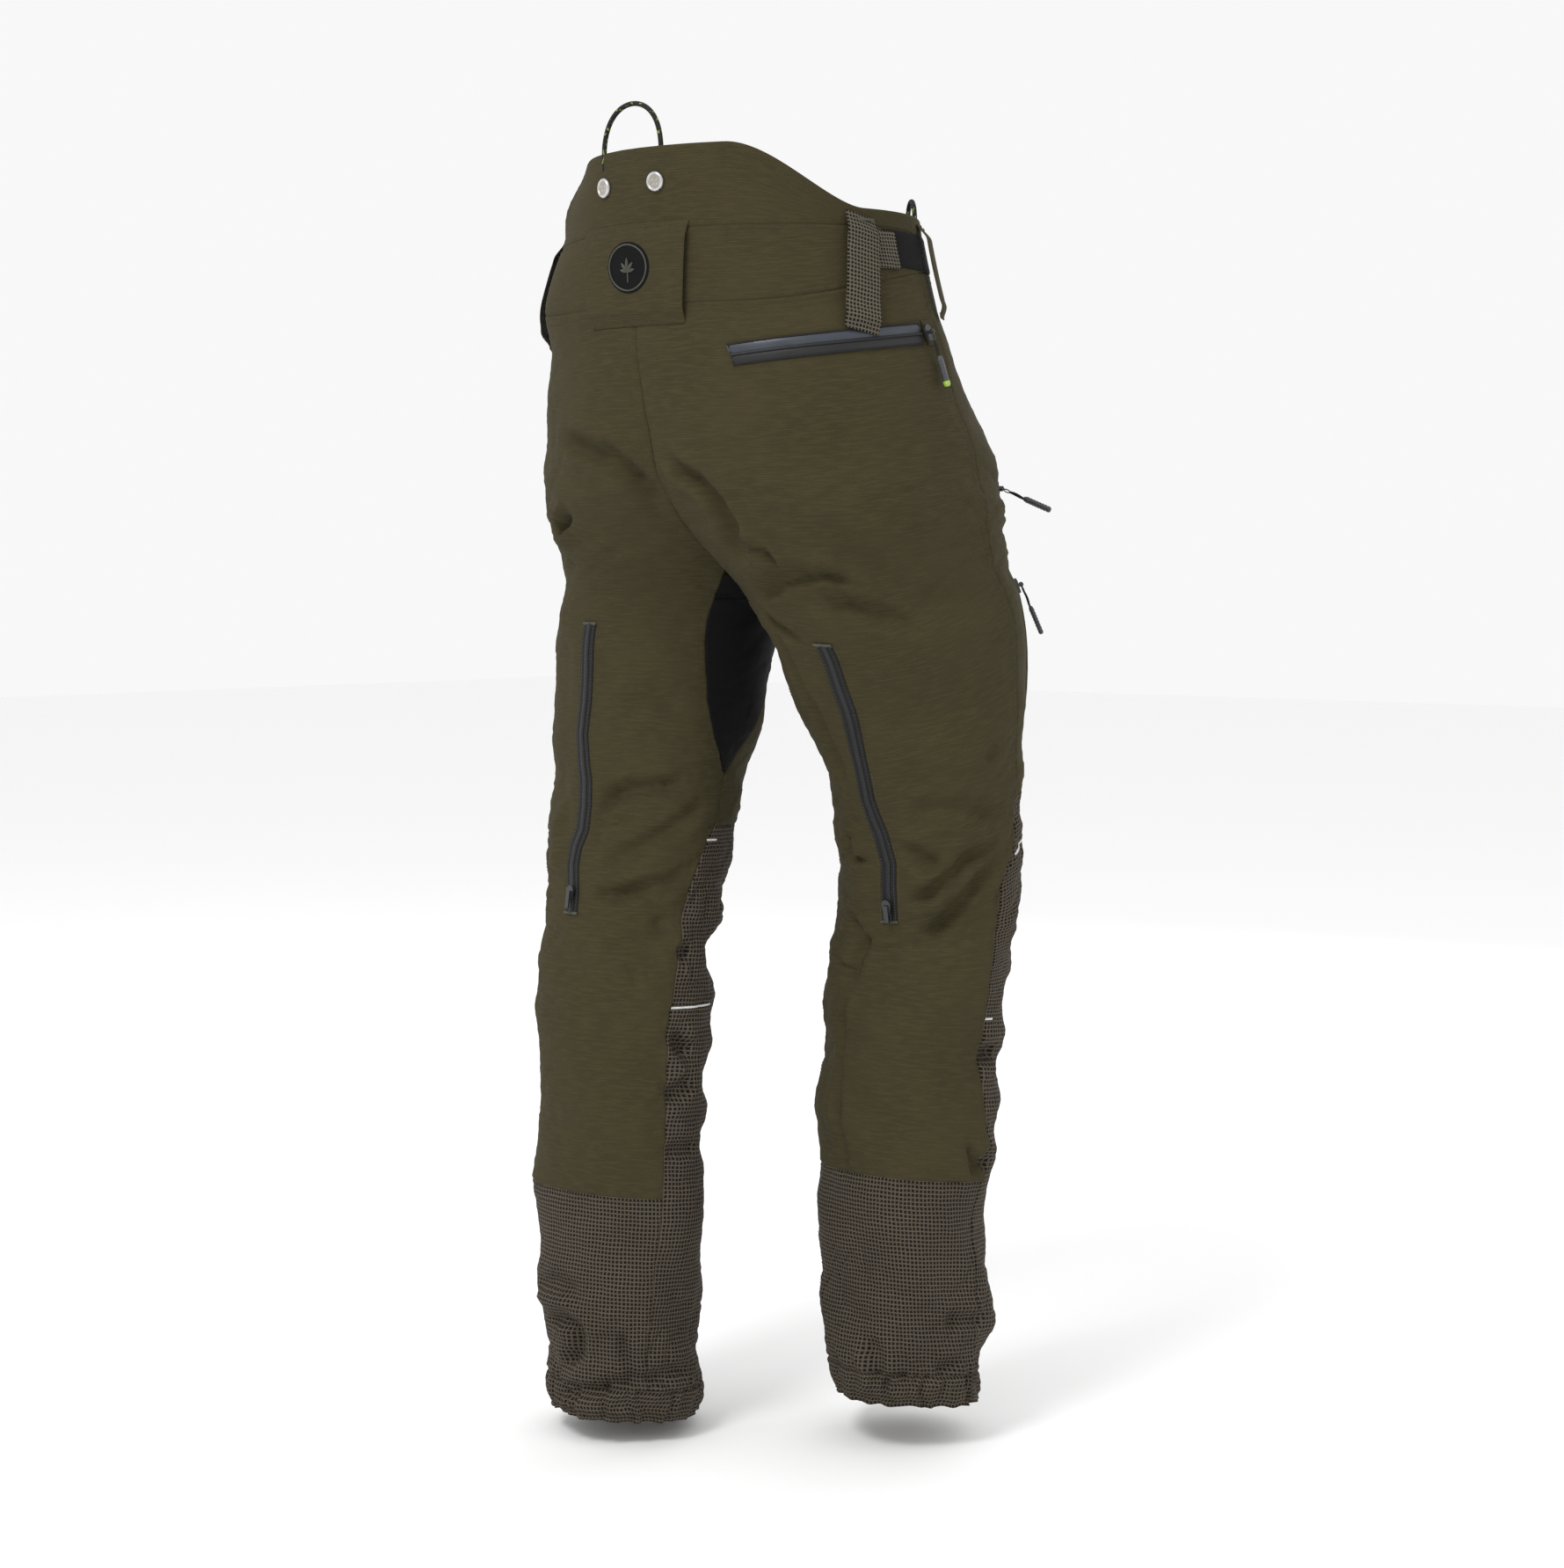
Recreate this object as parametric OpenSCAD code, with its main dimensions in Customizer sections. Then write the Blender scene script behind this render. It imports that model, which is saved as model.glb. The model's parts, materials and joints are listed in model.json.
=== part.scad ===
// Chainsaw trousers with a high back, stretch gussets, vent zips and checked
// knee and ankle panels, standing in a walking pose.
// Units are millimetres. +Z is up, the wearer faces -Y and the wearer's left is +X.
// The origin is the centre of the waist opening at belt height.
//
// Each leg with its half of the seat is an elliptical tube, cut off at the
// middle plane X = 0 above the crotch. Stations give the tube's centre and
// half axes at several heights. Angles run round the tube in degrees:
// 0 is the outer side, 90 the back, -90 the front and 180 the inseam.
// The legs are drawn straight and then bent at the hip and the knee.

/* [Waist] */
// Half of the waist opening's width
waist_half_width = 181; // [174:1:188]
// Half of the waist opening's depth
waist_half_depth = 134; // [128:1:140]
// Height of the top edge above the belt line at the front
front_rise = 42; // [40:1:50]
// Height of the top edge above the belt line at the back
back_rise = 95; // [84:1:104]
// Height of the seam above the waistband
band_top = 27; // [24:1:30]
// Depth of the waistband's lower seam at the back
band_drop = 35; // [32:1:38]

/* [Seat and legs] */
// Half of the seat's depth
seat_half_depth = 152; // [146:1:158]
// Depth of the crotch below the belt line
crotch_drop = 281; // [276:1:286]
// Half of the thigh's width below the crotch
thigh_half_width = 106; // [100:1:108]
// Half of the knee's width
knee_half_width = 88; // [84:1:92]
// Half of the ankle's width at its seam
ankle_half_width = 82; // [78:1:86]
// Half of the hem's width
hem_half_width = 70; // [66:1:74]
// Length from the crotch to the hem
inside_leg = 749; // [740:1:760]
// Height of the elastic cuff
cuff_height = 30; // [24:1:36]

/* [Walking pose] */
// How far the left thigh swings forward, in degrees
left_hip_bend = -2.5; // [-4:0.5:0]
// How far the right thigh swings forward, in degrees
right_hip_bend = 20.5; // [18:0.5:21]
// How far the left knee bends, in degrees
left_knee_bend = 2.5; // [0:0.5:4]
// How far the right knee bends, in degrees
right_knee_bend = 26; // [22:0.5:27]

/* [Cloth and hardware] */
// Thickness of the outer cloth
cloth = 1.5; // [1.2:0.1:1.6]
// Thickness of the cut-protection pads
pad_thickness = 5; // [4:0.5:6]
// Width of a zip's tape
tape_width = 13; // [11:1:14]
// Width of the rear pocket's coated tape
rear_tape_width = 18; // [16:1:20]
// Diameter of the hanging loops' cord
cord_diameter = 4.3; // [4:0.1:4.6]
// Diameter of a brace button
button_diameter = 17; // [15:1:18]
// Room between a belt loop and the waistband
belt_gap = 5.5; // [5:0.5:6]

/* [Hidden] */
$fn = 32;
hem_z = -crotch_drop - inside_leg;
cuff_z = hem_z + cuff_height;
ankle_z = -824;
knee_panel_z = -490;
gusset_tip_z = -442;
pad_top_z = -300;

// Stations from the top down: height, centre outward, centre backward, half width, half depth
stations = [
    [110, 0, 18, waist_half_width - 6, waist_half_depth - 3],
    [28, 0, 7, waist_half_width, waist_half_depth],
    [-32, 5, -2, waist_half_width + 4, waist_half_depth + 3],
    [-110, 35, -18, waist_half_width - 10, seat_half_depth - 3],
    [-180, 62, -35, waist_half_width - 24, seat_half_depth],
    [-crotch_drop, 110, -49, 110, seat_half_depth - 36],
    [-330, 124, -46, thigh_half_width, seat_half_depth - 51],
    [-400, 126, -34, thigh_half_width - 8, 88],
    [-500, 122, -16, knee_half_width + 4, 76],
    [-600, 115, 8, knee_half_width, 70],
    [-680, 109, 16, knee_half_width - 1, 68],
    [ankle_z, 106, 10, ankle_half_width, 67],
    [-930, 106, 0, ankle_half_width - 5, 67],
    [hem_z, 106, -13, hem_half_width, 67]
];
function column(k) = [for (s = stations) [s[0], s[k]]];
centre_out = column(1);
centre_back = column(2);
half_width = column(3);
half_depth = column(4);

// Seams, as angles
side_seam = -11;
medial_seam = [[-470, 180], [-700, 155], [ankle_z, 150], [hem_z, 150]];
gusset_spread = [
    [-306, 32], [-340, 30], [-376, 25], [-408, 16], [-434, 5],
    [gusset_tip_z, 1], [gusset_tip_z - 1, 0]
];
gusset_top_z = -266;
seam = 0.15;
// Wider seams where panels of different curves meet
calf_seam = 0.9;
gusset_seam = 1.2;
// Room at the hip cut, so that the thigh swings clear of the seat
hip_room = 2.8;

// Hip and knee hinge axes, in the straight leg. Both run along X.
hip_axis = [-35, -215];
knee_axis = [15, -600];
// Wedges of loose cloth above and below each axis, in degrees from level
hip_up = [7, 0];
hip_down = [36, 29];
knee_up = [12, 15];
knee_down = [12, 53];
// Heights of the hip's two cuts, about halfway round
hip_top = -208;
hip_bottom = -275;

// Bending of the legs: pivots as [y, z], and the stretch over which the cloth bends
hip_pivot = [0, -215];
hip_slope = [0.523, -0.852];
hip_bend_top = -262;
hip_bend_length = 200;
knee_pivot = [10, -600];
knee_bend_top = -530;
knee_bend_length = 160;

// Layers, measured outward from the cloth's outer face
patch_in = 0.4;
patch_out = 1.2;
add_on = 0.8;
tape_out = 1.6;
slider_out = 3.2;
bag_in = -5.4;
bag_out = -4.4;
pad_out = -7.6;
pad_in = pad_out - pad_thickness;

// Zip paths: the slider's end first, then the far end, as [angle, height]
hand_zip = [[-44, -190], [-58, -70]];
thigh_zip = [[-48, -314], [-46, -440]];
vent_zip = [[84, -562], [87, -305]];
rear_zip = [[-2, -59], [66, -80]];
// Heights of the fly's lower and upper ends and of its slider
fly_bottom = -150;
fly_top = 22;
fly_slider_z = 8;

// ---- Small functions ----

function mix(a, b, t) = a + (b - a) * t;
function ease(t) = let (c = min(max(t, 0), 1)) c * c * (3 - 2 * c);
function unit(v) = v / norm(v);

// Where the top edge starts to rise, and over how many degrees it rises
rise_start = 14;
rise_run = 44;
// Height of the top edge and of the waistband's lower seam at an angle
function top_edge(angle) =
    front_rise + (back_rise - front_rise) * ease((angle - rise_start) / rise_run);
function band_bottom(angle) = -band_drop + (band_drop - 3) * ease((60 - angle) / 90);

// The angle at which the tube meets the middle plane, or 180 below the crotch
function limit(z, out) =
    let (c = lookup(z, centre_out), r = lookup(z, half_width) + out)
    c < r ? acos(-c / r) : 180;

// A point on the straight leg. side is 1 for the left leg and -1 for the right.
function straight(side, angle, z, out, least) = [
    side * max(lookup(z, centre_out) + (lookup(z, half_width) + out) * cos(angle), least),
    lookup(z, centre_back) + (lookup(z, half_depth) + out) * sin(angle),
    z
];

function swing(p, degrees, pivot) =
    let (y = p[1] - pivot[0], z = p[2] - pivot[1])
    [p[0], pivot[0] + y * cos(degrees) + z * sin(degrees), pivot[1] - y * sin(degrees) + z * cos(degrees)];

// The straight leg's point, moved into the walking pose
function pose(side, p) =
    let (
        knee = side > 0 ? left_knee_bend : right_knee_bend,
        hip = side > 0 ? left_hip_bend : right_hip_bend,
        down = hip_slope[0] * abs(p[0]) + hip_slope[1] * (p[2] - hip_bend_top),
        bent = swing(p, -knee * ease((knee_bend_top - p[2]) / knee_bend_length), knee_pivot)
    )
    swing(bent, hip * ease(down / hip_bend_length), hip_pivot);

function on_cloth(side, angle, z, out = 0, least = 0.2) = pose(side, straight(side, angle, z, out, least));

// A line that rises away from an axis on both sides, in front and behind
function wedge(y, axis, rise) =
    axis[1] + (y < axis[0] ? (axis[0] - y) * tan(rise[0]) : (y - axis[0]) * tan(rise[1]));
function depth_at(angle, z) = lookup(z, centre_back) + lookup(z, half_depth) * sin(angle);
function above_hip(angle) = wedge(depth_at(angle, hip_axis[1]), hip_axis, hip_up);
function below_hip(angle) = wedge(depth_at(angle, hip_axis[1]), hip_axis, -hip_down);
function above_knee(angle) = wedge(depth_at(angle, knee_axis[1]), knee_axis, knee_up);
function below_knee(angle) = wedge(depth_at(angle, knee_axis[1]), knee_axis, -knee_down);

// Seam angles at a height, as the back and front panels meet them
function inseam(z, out) = min(limit(z, out), 180 - lookup(z, gusset_spread)) - seam;
function knee_seam(z) = lookup(z, medial_seam);

// ---- Cloth ----

// A curved sheet with thickness. point(s, t, out) gives a place on it, where s
// runs across from 0 to 1, t runs up from 0 to 1 and out is the layer.
module sheet(point, inner, outer, columns, rows, mirrored = false, closed = false)
{
    last = closed ? columns - 1 : columns;
    width = last + 1;
    layer = width * (rows + 1);
    points = [
        for (out = [outer, inner], j = [0 : rows], i = [0 : last]) point(i / columns, j / rows, out)
    ];
    function at(l, i, j) = l * layer + j * width + (i % width);
    quads = [
        for (j = [0 : rows - 1], i = [0 : columns - 1]) each [
            [at(0, i, j), at(0, i, j + 1), at(0, i + 1, j + 1), at(0, i + 1, j)],
            [at(1, i + 1, j), at(1, i + 1, j + 1), at(1, i, j + 1), at(1, i, j)]
        ],
        for (i = [0 : columns - 1]) each [
            [at(0, i, 0), at(0, i + 1, 0), at(1, i + 1, 0), at(1, i, 0)],
            [at(0, i + 1, rows), at(0, i, rows), at(1, i, rows), at(1, i + 1, rows)]
        ],
        if (!closed) for (j = [0 : rows - 1]) each [
            [at(0, 0, j + 1), at(0, 0, j), at(1, 0, j), at(1, 0, j + 1)],
            [at(0, columns, j), at(0, columns, j + 1), at(1, columns, j + 1), at(1, columns, j)]
        ]
    ];
    faces = [for (q = quads) each [[q[0], q[1], q[2]], [q[0], q[2], q[3]]]];
    polyhedron(points, mirrored ? [for (f = faces) [f[2], f[1], f[0]]] : faces);
}

// A panel between two seams and two edges. The seams are functions of height
// and layer, and the edges are functions of angle. low and high are the heights
// at which the seams' angles are read for the lower and the upper edge.
module panel(side, from, to, bottom, top, columns, rows, low, high, inner = -cloth, outer = 0)
{
    point = function (s, t, out)
        let (
            low_angle = mix(from(low, 0), to(low, 0), s),
            high_angle = mix(from(high, 0), to(high, 0), s),
            z = mix(bottom(low_angle), top(high_angle), t)
        )
        on_cloth(side, mix(from(z, out), to(z, out), s), z, out);
    sheet(point, inner, outer, columns, rows, side < 0);
}

// A piece that crosses the centre back, from one angle on the right round to the left
module back_piece(end_angle, bottom, top, columns, rows, inner, outer, lift = function (s, t) 0)
{
    point = function (s, t, out)
        let (
            q = 1 - 2 * s,
            side = q < 0 ? -1 : 1,
            nominal = mix(90, end_angle, abs(q)),
            z = mix(bottom(nominal), top(nominal), t)
        )
        on_cloth(side, mix(limit(z, out), end_angle, abs(q)), z, out + lift(s, t), -1);
    sheet(point, inner, outer, columns, rows, true);
}

// A straight-sided strip of cloth along a path from one [angle, height] to another
module strip(side, path, width, columns, rows, inner, outer, lift = function (s, t) 0)
{
    low = path[0][1] < path[1][1] ? path[0] : path[1];
    high = path[0][1] < path[1][1] ? path[1] : path[0];
    point = function (s, t, out)
        let (
            z = mix(low[1], high[1], t),
            across = (s - 0.5) * width / lookup(z, half_width) * 180 / PI
        )
        on_cloth(side, mix(low[0], high[0], t) + across, z, out + lift(s, t));
    sheet(point, inner, outer, columns, rows, side < 0);
}

// Places flat hardware on the cloth: X to the right and Y up as seen from
// outside, and Z outward. lean turns Y along a slanted zip, in degrees of angle
// for each millimetre of height.
module place(side, spot, out, lean = 0)
{
    origin = on_cloth(side, spot[0], spot[1], out);
    step = [4 * lean, 4];
    above = spot + step;
    below = spot - step;
    along = unit(on_cloth(side, above[0], above[1], out) - on_cloth(side, below[0], below[1], out));
    across = side * unit(
        on_cloth(side, spot[0] + 2, spot[1], out) - on_cloth(side, spot[0] - 2, spot[1], out)
    );
    outward = unit(cross(across, along));
    right = cross(along, outward);
    multmatrix([
        [right[0], along[0], outward[0], origin[0]],
        [right[1], along[1], outward[1], origin[1]],
        [right[2], along[2], outward[2], origin[2]],
        [0, 0, 0, 1]
    ])
        children();
}

// ---- Zip hardware, drawn on the face of its tape ----

plate_height = 2.4;
pin_height = 5.4;

// The slant of a zip that runs mostly up and down
function lean_of(path) = (path[1][0] - path[0][0]) / (path[1][1] - path[0][1]);

// A slider's body: a round shoulder that narrows to a throat
module slider_plate()
{
    linear_extrude(plate_height)
    {
        translate([0, 2.5])
            circle(r = 4.5);
        polygon([[-4.2, 1], [-3, -7], [3, -7], [4.2, 1]]);
    }
}

// The slider's body with two posts and the pin that the puller swings on
module slider()
{
    slider_plate();
    for (x = [-2.5, 1.7])
        translate([x, -1.2, plate_height])
            cube([0.8, 2.4, 4.2]);
    translate([-2.5, 0, pin_height])
        rotate([0, 90, 0])
            cylinder(h = 5, r = 0.8);
}

// The puller: an eye round the pin, a short cord and a moulded grip
module puller()
{
    difference()
    {
        translate([-1.1, 0, 0])
            rotate([0, 90, 0])
                cylinder(h = 2.2, r = 2.4);
        translate([-1.6, 0, 0])
            rotate([0, 90, 0])
                cylinder(h = 3.2, r = 1.2);
    }
    translate([0, -2, 0])
        rotate([90, 0, 0])
            cylinder(h = 20, r = 1);
    translate([0, -21, 0])
        rotate([90, 0, 0])
            cylinder(h = 3, r1 = 1.5, r2 = 3);
    translate([-3.4, -48, -2])
        cube([6.8, 24, 4]);
}

module placed_slider(side, spot, lean)
{
    color("black")
        place(side, spot, slider_out, lean)
            slider();
}

// lift is how far the puller stands away from the cloth, in degrees
module placed_puller(side, spot, lean, lift)
{
    color("dimgray")
        place(side, spot, slider_out, lean)
            translate([0, 0, pin_height])
                rotate([-lift, 0, 0])
                    puller();
}

// ---- Waist ----

module high_back_panel()
{
    color("darkolivegreen")
        back_piece(
            side_seam + seam, function (a) band_top + 0.2, function (a) top_edge(a),
            26, 3, -cloth, 0
        );
}

module waistband_back()
{
    color("darkolivegreen")
        back_piece(
            side_seam + seam, function (a) band_bottom(a) + 0.2, function (a) band_top - 0.2,
            26, 2, -cloth, 0
        );
}

module waistband_front()
{
    color("darkolivegreen")
        for (side = [1, -1])
            panel(
                side,
                function (z, out) -limit(z, out) + 0.2,
                function (z, out) side_seam - seam,
                function (a) band_bottom(a) + 0.2,
                function (a) top_edge(a),
                9, 3, 0, 0
            );
}

module rear_belt_tunnel()
{
    half_angle = 19.5;
    bottom = -53;
    top = 31;
    color("olivedrab")
        back_piece(
            90 - half_angle, function (a) bottom, function (a) top, 8, 6, patch_in, patch_out + 0.2,
            function (s, t) (belt_gap + 0.4) * ease(6 * min(t, 1 - t))
        );
}

module belt_loops()
{
    wide_loop = [[21, -54], [16.5, 38]];
    wide_loop_width = 31;
    slim_loop = [[-22, -46], [-22, 36]];
    slim_loop_width = 20;
    strap_in = 0.6;
    strap_out = 1.8;
    // The lower end also clears the seat's seam and the rear pocket's tape
    rise = function (s, t) (belt_gap + 2) * ease(6 * min(t, 1 - t)) + 2.2 * ease(8 * (0.2 - t));
    color("tan")
        for (side = [1, -1])
            strip(side, wide_loop, wide_loop_width, 3, 14, strap_in, strap_out, rise);
    color("darkolivegreen")
        for (side = [1, -1])
            strip(side, slim_loop, slim_loop_width, 3, 12, strap_in, strap_out, rise);
}

// A patch of even height on the outside of the waistband
module waist_patch(side, first_angle, last_angle, bottom, top, columns, inner, outer)
{
    panel(
        side,
        function (z, out) first_angle,
        function (z, out) last_angle,
        function (a) bottom,
        function (a) top,
        columns, 1, 0, 0, inner, outer
    );
}

module hook_pads()
{
    color("black")
        for (side = [1, -1])
            waist_patch(side, -25, 8, -5, 26, 5, patch_in, patch_out);
}

module adjuster_tab(side)
{
    color("tan")
        waist_patch(side, 3, 20, -7, 24, 4, patch_out + 1, patch_out + 2);
}

module brace_button()
{
    cylinder(h = 1.2, d = button_diameter);
    translate([0, 0, 1.2])
        difference()
        {
            cylinder(h = 2, d = button_diameter - 3);
            for (x = [-2, 2], y = [-2, 2])
                translate([x, y, 0.8])
                    cylinder(h = 3, d = 1.8);
        }
}

module brace_buttons()
{
    spots = [[80, 66], [-50, 29], [-68, 29]];
    color("silver")
        for (side = [1, -1], spot = spots)
            place(side, spot, 0.3)
                brace_button();
}

module waist_snap()
{
    color("silver")
        place(1, [-82, 8], 0.3)
        {
            cylinder(h = 1, d = 15);
            translate([0, 0, 1])
                cylinder(h = 2, d1 = 13, d2 = 8);
        }
}

// ---- Seat and hips ----

module seat_panels()
{
    color("darkolivegreen")
        for (side = [1, -1])
            panel(
                side,
                function (z, out) side_seam + seam,
                function (z, out) inseam(z, out),
                function (a) above_hip(a) + 0.2,
                function (a) band_bottom(a) - 0.2,
                14, 5, hip_top, -30
            );
}

module hip_front_panels()
{
    color("darkolivegreen")
        for (side = [1, -1])
            panel(
                side,
                function (z, out) -inseam(z, out),
                function (z, out) side_seam - seam,
                function (a) above_hip(a) + 0.2,
                function (a) band_bottom(a) - 0.2,
                14, 7, hip_top, -30
            );
}

module hip_fold(side)
{
    color("darkolivegreen")
    {
        panel(
            side,
            function (z, out) side_seam + seam,
            function (z, out) inseam(z, out),
            function (a) below_hip(a) + 0.3,
            function (a) above_hip(a) - 0.2,
            14, 5, hip_bottom, hip_top
        );
        panel(
            side,
            function (z, out) -inseam(z, out),
            function (z, out) side_seam - seam,
            function (a) below_hip(a) + 0.3,
            function (a) above_hip(a) - 0.2,
            14, 8, hip_bottom, hip_top
        );
    }
}

// A pocket's inner cloth, behind the outer cloth
module bag(side, first_angle, last_angle, bottom, top)
{
    panel(
        side,
        function (z, out) first_angle,
        function (z, out) last_angle,
        function (a) bottom,
        function (a) top,
        8, 8, 0, 0, bag_in, bag_out
    );
}

module pocket_bags()
{
    color("black")
    {
        for (side = [1, -1])
            bag(side, -72, -20, -188, -58);
        bag(-1, 4, 60, -200, -62);
    }
}

module pocket_zip_tapes()
{
    color("black")
        for (side = [1, -1])
            strip(side, hand_zip, tape_width, 2, 6, add_on, tape_out);
    half = rear_tape_width / 2;
    line = function (a) lookup(a, rear_zip);
    color("darkslategray")
        panel(
            -1,
            function (z, out) rear_zip[0][0] + 2,
            function (z, out) rear_zip[1][0],
            function (a) line(a) - half,
            function (a) line(a) + half,
            9, 1, 0, 0, add_on, tape_out
        );
}

module fly_zip_tape()
{
    color("black")
        for (side = [1, -1])
            panel(
                side,
                function (z, out) -limit(z, out) + 0.1,
                function (z, out) -limit(z, out) + 4,
                function (a) fly_bottom,
                function (a) fly_top,
                1, 6, -60, -60, bag_in - 0.6, bag_out - 0.4
            );
}

// The slider hangs inside the cloth, on the line of the centre front
module fly_zip_slider()
{
    function centre_front(z) = on_cloth(1, -limit(z, 0), z, 0, -1);
    spot = centre_front(fly_slider_z);
    low = centre_front(fly_bottom);
    slant = atan2(spot[1] - low[1], spot[2] - low[2]);
    behind_cloth = 9;
    color("silver")
        translate([0, spot[1] + behind_cloth, spot[2]])
            rotate([-slant, 0, 0])
            {
                translate([-5, 0, -7])
                    cube([10, 2.6, 14]);
                translate([-2.5, 2.6, -14])
                    cube([5, 1.4, 18]);
            }
}

// ---- Hanging loops ----

// Points of a loop whose two ends stand on the top edge, spread apart by width
function loop_route(side_a, angle_a, side_b, angle_b, height, sink) =
    let (
        out = -cloth - 2 - cord_diameter / 2,
        a = on_cloth(side_a, angle_a, top_edge(angle_a) - sink, out),
        b = on_cloth(side_b, angle_b, top_edge(angle_b) - sink, out),
        middle = (a + b) / 2,
        reach = (b - a) / 2
    )
    [for (t = [0 : 7.5 : 180])
        middle - reach * cos(t) * (1 + 0.12 * sin(t)) + [0, 0, (height + sink) * pow(sin(t), 0.8)]];

// A round tube along a route that bends in one plane. normal is that plane's normal.
module tube(route, normal, diameter)
{
    sides = 8;
    count = len(route);
    function heading(i) = unit(route[min(i + 1, count - 1)] - route[max(i - 1, 0)]);
    points = [
        for (i = [0 : count - 1])
            let (side_way = unit(cross(normal, heading(i))))
            for (k = [0 : sides - 1])
                let (angle = 360 * k / sides)
                route[i] + diameter / 2 * (cos(angle) * side_way + sin(angle) * normal)
    ];
    faces = [
        [for (k = [0 : sides - 1]) k],
        [for (k = [sides - 1 : -1 : 0]) (count - 1) * sides + k],
        for (i = [0 : count - 2], k = [0 : sides - 1])
            let (a = i * sides + k, b = i * sides + (k + 1) % sides)
            each [[b, a, a + sides], [b, a + sides, b + sides]]
    ];
    polyhedron(points, faces);
}

module cord_loop(side_a, angle_a, side_b, angle_b, height, sink)
{
    route = loop_route(side_a, angle_a, side_b, angle_b, height, sink);
    ends = route[len(route) - 1] - route[0];
    color("black")
        tube(route, unit(cross(ends, [0, 0, 1])), cord_diameter);
}

// ---- Thighs ----

module front_thigh_panel(side)
{
    color("darkolivegreen")
        panel(
            side,
            function (z, out) -inseam(z, out),
            function (z, out) side_seam - seam,
            function (a) knee_panel_z + 0.2,
            function (a) below_hip(a) - hip_room,
            14, 12, knee_panel_z, hip_bottom
        );
}

module back_thigh_panel(side)
{
    color("darkolivegreen")
        panel(
            side,
            function (z, out) side_seam + seam,
            function (z, out) z > medial_seam[0][0] ? inseam(z, out) : knee_seam(z) - seam,
            function (a) above_knee(a) + 0.2,
            function (a) below_hip(a) - hip_room,
            14, 8, knee_axis[1], hip_bottom
        );
}

module gusset(side)
{
    below_crotch = -crotch_drop - 4;
    edge = function (z) 180 - lookup(z, gusset_spread) + gusset_seam;
    color("black")
    {
        panel(
            side,
            function (z, out) edge(z),
            function (z, out) 360 - edge(z),
            function (a) gusset_tip_z + 3,
            function (a) below_crotch,
            4, 12, -300, -300
        );
        // The gusset runs on above the crotch, at the back and at the front
        for (face = [1, -1])
            panel(
                side,
                function (z, out) face > 0 ? edge(z) : seam - limit(z, out),
                function (z, out) face > 0 ? limit(z, out) - seam : -edge(z),
                function (a) below_crotch + 0.3,
                function (a) gusset_top_z,
                4, 3, below_crotch, below_crotch
            );
    }
}

module knee_cap_panel(side)
{
    color("dimgray")
        panel(
            side,
            function (z, out) knee_seam(z) - 360 + calf_seam,
            function (z, out) side_seam - calf_seam,
            function (a) above_knee(a) + 0.2,
            function (a) knee_panel_z - 0.2,
            17, 2, knee_axis[1], knee_panel_z
        );
}

module knee_fold(side)
{
    color("darkolivegreen")
        panel(
            side,
            function (z, out) side_seam + seam,
            function (z, out) knee_seam(z) - seam,
            function (a) below_knee(a) + 0.3,
            function (a) above_knee(a) - 0.3,
            16, 4, knee_axis[1], knee_axis[1]
        );
    color("dimgray")
        panel(
            side,
            function (z, out) knee_seam(z) - 360 + seam,
            function (z, out) side_seam - seam,
            function (a) below_knee(a) + 0.3,
            function (a) above_knee(a) - 0.3,
            17, 2, knee_axis[1], knee_axis[1]
        );
}

module thigh_guard_pad(side)
{
    color("gold")
        panel(
            side,
            function (z, out) -150,
            function (z, out) 0,
            function (a) above_knee(a) + 8,
            function (a) min(below_hip(a) - 8, pad_top_z),
            14, 9, 0, 0, pad_in, pad_out
        );
}

module vent_tape(side)
{
    color("black")
        strip(side, vent_zip, tape_width, 2, 10, add_on, tape_out);
}

module vent_slider(side)
{
    lean = lean_of(vent_zip);
    from_end = 8;
    color("black")
        place(side, vent_zip[0] + from_end * [lean, 1], slider_out, lean)
        {
            slider_plate();
            translate([-2.2, -14, plate_height])
                cube([4.4, 16, 1.6]);
        }
}

module thigh_zip_tape(side)
{
    color("black")
    {
        strip(side, thigh_zip, tape_width, 2, 6, add_on, tape_out);
        bag(side, -70, -22, -470, -306);
    }
}

// ---- Lower legs ----

module shin_panel(side)
{
    color("dimgray")
        panel(
            side,
            function (z, out) knee_seam(z) - 360 + seam,
            function (z, out) side_seam - seam,
            function (a) cuff_z + 0.2,
            function (a) below_knee(a) - 0.3,
            17, 8, cuff_z, knee_axis[1]
        );
}

module calf_panel(side)
{
    color("darkolivegreen")
        panel(
            side,
            function (z, out) side_seam + calf_seam,
            function (z, out) knee_seam(z) - calf_seam,
            function (a) ankle_z + 0.2,
            function (a) below_knee(a) - 0.3,
            16, 4, ankle_z, knee_axis[1]
        );
}

module ankle_panel(side)
{
    color("dimgray")
        panel(
            side,
            function (z, out) side_seam + seam,
            function (z, out) knee_seam(z) - calf_seam,
            function (a) cuff_z + 0.2,
            function (a) ankle_z - 0.2,
            16, 4, cuff_z, ankle_z
        );
}

module cuff(side)
{
    point = function (s, t, out) on_cloth(side, 360 * s, mix(hem_z, cuff_z - 0.2, t), out);
    color("dimgray")
        sheet(point, -cloth, 0, 36, 1, side < 0, true);
}

module shin_guard_pad(side)
{
    color("gold")
        panel(
            side,
            function (z, out) -150,
            function (z, out) 0,
            function (a) cuff_z + 20,
            function (a) below_knee(a) - 8,
            14, 7, 0, 0, pad_in, pad_out
        );
}

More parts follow.
